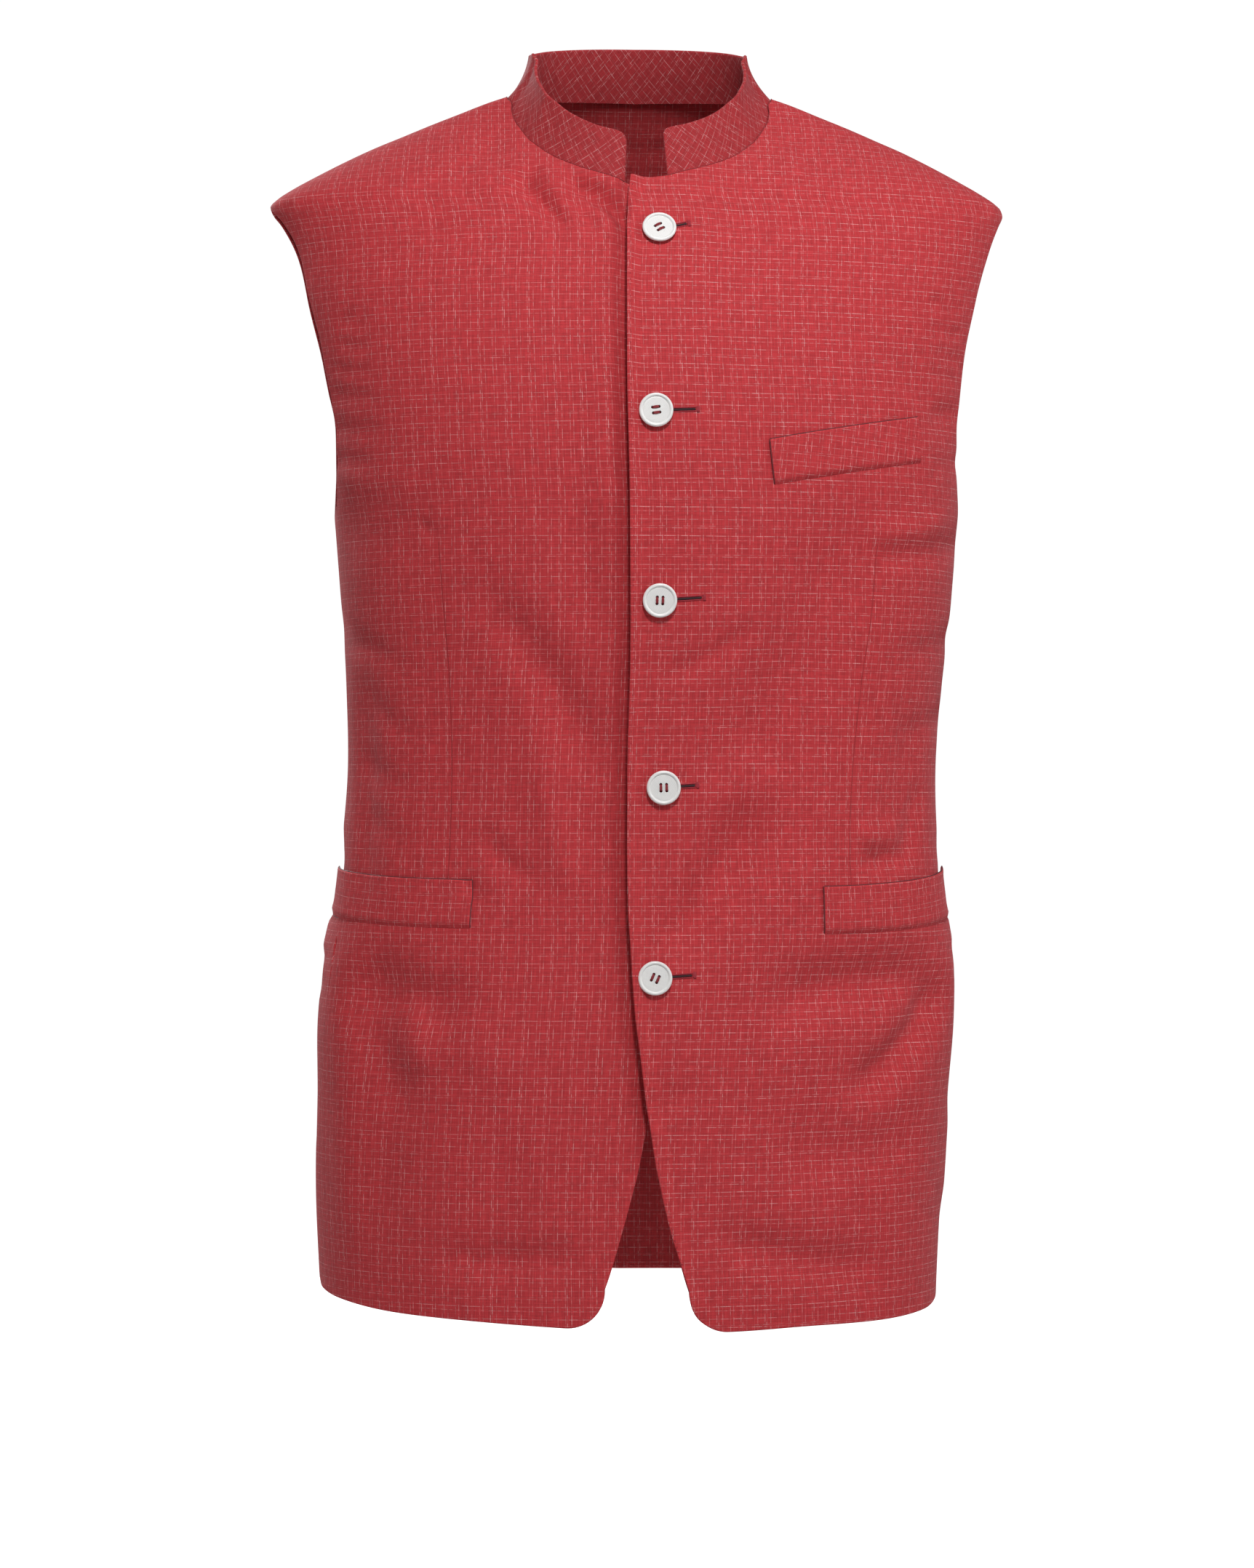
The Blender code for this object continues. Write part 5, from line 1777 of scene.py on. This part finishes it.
class JACKET_OT_welts(bpy.types.Operator):
    """Model the three pocket welts"""

    bl_idname = "jacket.welts"
    bl_label = "Pocket welts"

    def execute(self, context):
        radii = {name: FREE_EDGE for name in ("first", "last", "low", "top")}
        # Dark strands as painted shade along the welts' seams and mouths
        seam = sewing_material("seam_thread", tuple(context.scene.jacket_trim.seam))
        for name, welt in WELTS.items():
            outer, inner, plain, cut = welt_wall(welt)
            outer, inner, rim = round_rim(outer, inner, radii)
            # The welts' pale yarns are weakened: painted light, for how the light catches their
            # floats.
            material = cloth_material("check_" + name, context.scene.jacket_cloth, 0.75, 0.95)
            flip = slice(None, None, welt.side)
            piece = add_wall(
                name + "_cloth", outer[:, flip], inner[:, flip], cut[:, flip],
                {"rim": rim[:, flip]}, material)
            place_on_body(piece, "cloth", name)
            add_welt_shade_strands(name, outer, inner, seam)
        return {"FINISHED"}


class JACKET_OT_buttons(bpy.types.Operator):
    """Model the buttons and the thread that holds them"""

    bl_idname = "jacket.buttons"
    bl_label = "Buttons"

    def execute(self, context):
        settings = context.scene.jacket_trim
        white = button_material(settings)
        thread = sewing_material("button_thread", tuple(settings.button_thread))
        pattern = pierced_button()
        for spot in BUTTON_SPOTS:
            mesh = pattern.copy()
            spin = Matrix.Rotation(np.radians(spot.turn), 4, "Z")
            mesh.transform(front_frame(spot.across, spot.height, BUTTON_LIFT) @ spin)
            piece = add_object(spot.name + "_face", mesh, white)
            place_on_body(piece, "button", spot.name)
            place_on_body(button_thread(spot, thread), "button")
        bpy.data.meshes.remove(pattern)
        return {"FINISHED"}


class JACKET_OT_buttonholes(bpy.types.Operator):
    """Model the worked buttonholes with their bar tacks"""

    bl_idname = "jacket.buttonholes"
    bl_label = "Buttonholes"

    def execute(self, context):
        settings = context.scene.jacket_trim
        thread = sewing_material("buttonhole_thread", tuple(settings.sewing))
        dark = sewing_material("slit_shade", SLIT_SHADE_COLOUR)
        for spot in BUTTON_SPOTS:
            add_buttonhole(spot, thread, dark)
        return {"FINISHED"}


class JACKET_OT_stitches(bpy.types.Operator):
    """Sew the collar's seam line and the small stitches of the front edge and the welts"""

    bl_idname = "jacket.stitches"
    bl_label = "Edge stitches"

    def execute(self, context):
        settings = context.scene.jacket_trim
        thread = sewing_material("edge_thread", tuple(settings.sewing))
        inset = settings.stitch_inset
        surface = front_surface(1)
        heights = np.linspace(*STITCHED_EDGE, 500)
        edge = read("edge", "left", heights)
        angle = angle_at_width(-edge + inset, heights)
        add_stitches(
            "edge_stitches", surface(angle, heights), normals_of(surface, angle, heights),
            settings.stitch_pitch, EDGE_STITCH, thread)
        self.sew_collar(sewing_material("collar_seam_thread", COLLAR_SEAM_COLOUR))
        for name, welt in WELTS.items():
            outer, inner, _, _ = welt_wall(welt)
            self.sew_welt(name, outer, inner, inset, settings.stitch_pitch * 0.8, thread)
        return {"FINISHED"}

    def sew_collar(self, thread):
        """The sunk seam line at the foot of the collar."""
        angle, _ = collar_line()
        away = np.stack([np.sin(angle), -np.cos(angle), np.zeros(len(angle))], axis=-1)
        line = collar_base(angle) + away * COLLAR_SEAM_OUT
        shape = bmesh.new()
        sweep(shape, line[1:-1], COLLAR_SEAM_RADIUS)
        place_on_body(finish_strands("collar_seam", shape, thread), "cloth")

    def sew_welt(self, name, outer, inner, inset, pitch, thread):
        """Stitches down the inner end of a welt and along its top."""
        outward = outer - inner
        outward = outward / np.linalg.norm(outward, axis=-1, keepdims=True)
        column = int(np.argmin(np.abs(girth_from(outer, 0)[0] - inset)))
        down = outer[:, column]
        tall = girth_from(outer.transpose(1, 0, 2), 1).T
        row = int(np.argmin(np.abs(tall[:, 0] - inset)))
        along = outer[row]
        add_stitches(
            name + "_end_stitches", down, outward[:, column], pitch, WELT_STITCH, thread)
        add_stitches(
            name + "_top_stitches", along, outward[row], pitch * 1.6, WELT_STITCH, thread)


class JACKET_OT_stage(bpy.types.Operator):
    """Lay the floor, hang the lights and set the camera"""

    bl_idname = "jacket.stage"
    bl_label = "Stage"

    def execute(self, context):
        settings = context.scene.jacket_stage
        shape = bmesh.new()
        lower = Matrix.Translation((0.0, 0.0, settings.floor_height))
        bmesh.ops.create_grid(shape, x_segments=1, y_segments=1, size=120.0, matrix=lower)
        add_object("floor", mesh_from("floor", shape), floor_material(settings))
        self.light(context, settings)
        self.sky(context, settings)
        self.camera(context, settings)
        return {"FINISHED"}

    def light(self, context, settings):
        """Soft lamps: a key above the front, a fill from each side and one behind."""
        middle = Vector((0.0, 0.0, -0.40))
        lamps = (
            ("key", (0.14, -1.64, 1.28), 0.32, 1.0),
            ("fill", (1.9, -1.0, 0.35), 0.9, 0.35),
            ("side", (-1.9, -0.9, 0.20), 0.9, 0.09),
            ("back", (-1.5, 2.3, 1.0), 1.4, 1.2),
        )
        for name, place, size, share in lamps:
            lamp = bpy.data.lights.new(name, "AREA")
            lamp.shape = "SQUARE"
            lamp.size = size
            lamp.energy = settings.key_power * share
            item = bpy.data.objects.new(name, lamp)
            context.scene.collection.objects.link(item)
            item.location = place
            item.rotation_euler = (middle - item.location).to_track_quat("-Z", "Y").to_euler()

    def sky(self, context, settings):
        """Even white light from all round, brighter where it is the backdrop."""
        world = bpy.data.worlds.new("studio")
        context.scene.world = world
        world.use_nodes = True
        tree = world.node_tree
        back = tree.nodes["Background"]
        back.inputs["Color"].default_value = (1.0, 1.0, 1.0, 1.0)
        strength = ranged(
            tree, seen_by_camera(tree), 0.0, 1.0, settings.sky, settings.backdrop)
        plug(tree, back.inputs["Strength"], strength)

    def camera(self, context, settings):
        """A level camera at the photograph's angle."""
        lens = bpy.data.cameras.new("view")
        lens.lens = settings.lens
        lens.sensor_width = 36.0
        lens.shift_x = CAMERA_SHIFT
        lens.clip_start = 0.05
        lens.clip_end = 400.0
        item = bpy.data.objects.new("view", lens)
        context.scene.collection.objects.link(item)
        turn = settings.azimuth
        away = settings.distance
        item.location = (np.sin(turn) * away, -np.cos(turn) * away, CAMERA_HEIGHT)
        item.rotation_euler = (np.pi / 2.0, 0.0, turn)
        context.scene.camera = item
        context.scene.view_settings.view_transform = "Standard"
        context.scene.view_settings.look = "None"


class JACKET_PT_pieces(bpy.types.Panel):
    """The jacket's pieces and sizes"""

    bl_label = "Nehru jacket"
    bl_idname = "JACKET_PT_pieces"
    bl_space_type = "VIEW_3D"
    bl_region_type = "UI"
    bl_category = "Jacket"

    def draw(self, context):
        layout = self.layout
        for group in ("jacket_cloth", "jacket_trim", "jacket_stage"):
            box = layout.box()
            settings = getattr(context.scene, group)
            for name in settings.__annotations__:
                box.prop(settings, name)
        for operator in OPERATORS:
            layout.operator(operator.bl_idname)


OPERATORS = (
    JACKET_OT_fronts,
    JACKET_OT_back,
    JACKET_OT_collar,
    JACKET_OT_welts,
    JACKET_OT_buttons,
    JACKET_OT_buttonholes,
    JACKET_OT_stitches,
    JACKET_OT_stage,
)
GROUPS = {
    "jacket_cloth": JacketCloth,
    "jacket_trim": JacketTrim,
    "jacket_stage": JacketStage,
}


def register():
    """Add the classes and the jacket's settings."""
    for name, group in GROUPS.items():
        bpy.utils.register_class(group)
        setattr(bpy.types.Scene, name, PointerProperty(type=group))
    for item in (*OPERATORS, JACKET_PT_pieces):
        bpy.utils.register_class(item)


def unregister():
    """Take the classes and the settings away."""
    for item in reversed((*OPERATORS, JACKET_PT_pieces)):
        bpy.utils.unregister_class(item)
    for name, group in GROUPS.items():
        delattr(bpy.types.Scene, name)
        bpy.utils.unregister_class(group)


def main():
    """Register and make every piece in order."""
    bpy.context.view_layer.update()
    register()
    bpy.ops.jacket.fronts()
    bpy.ops.jacket.back()
    bpy.ops.jacket.collar()
    bpy.ops.jacket.welts()
    bpy.ops.jacket.buttons()
    bpy.ops.jacket.buttonholes()
    bpy.ops.jacket.stitches()
    bpy.ops.jacket.stage()


if __name__ == "__main__":
    main()
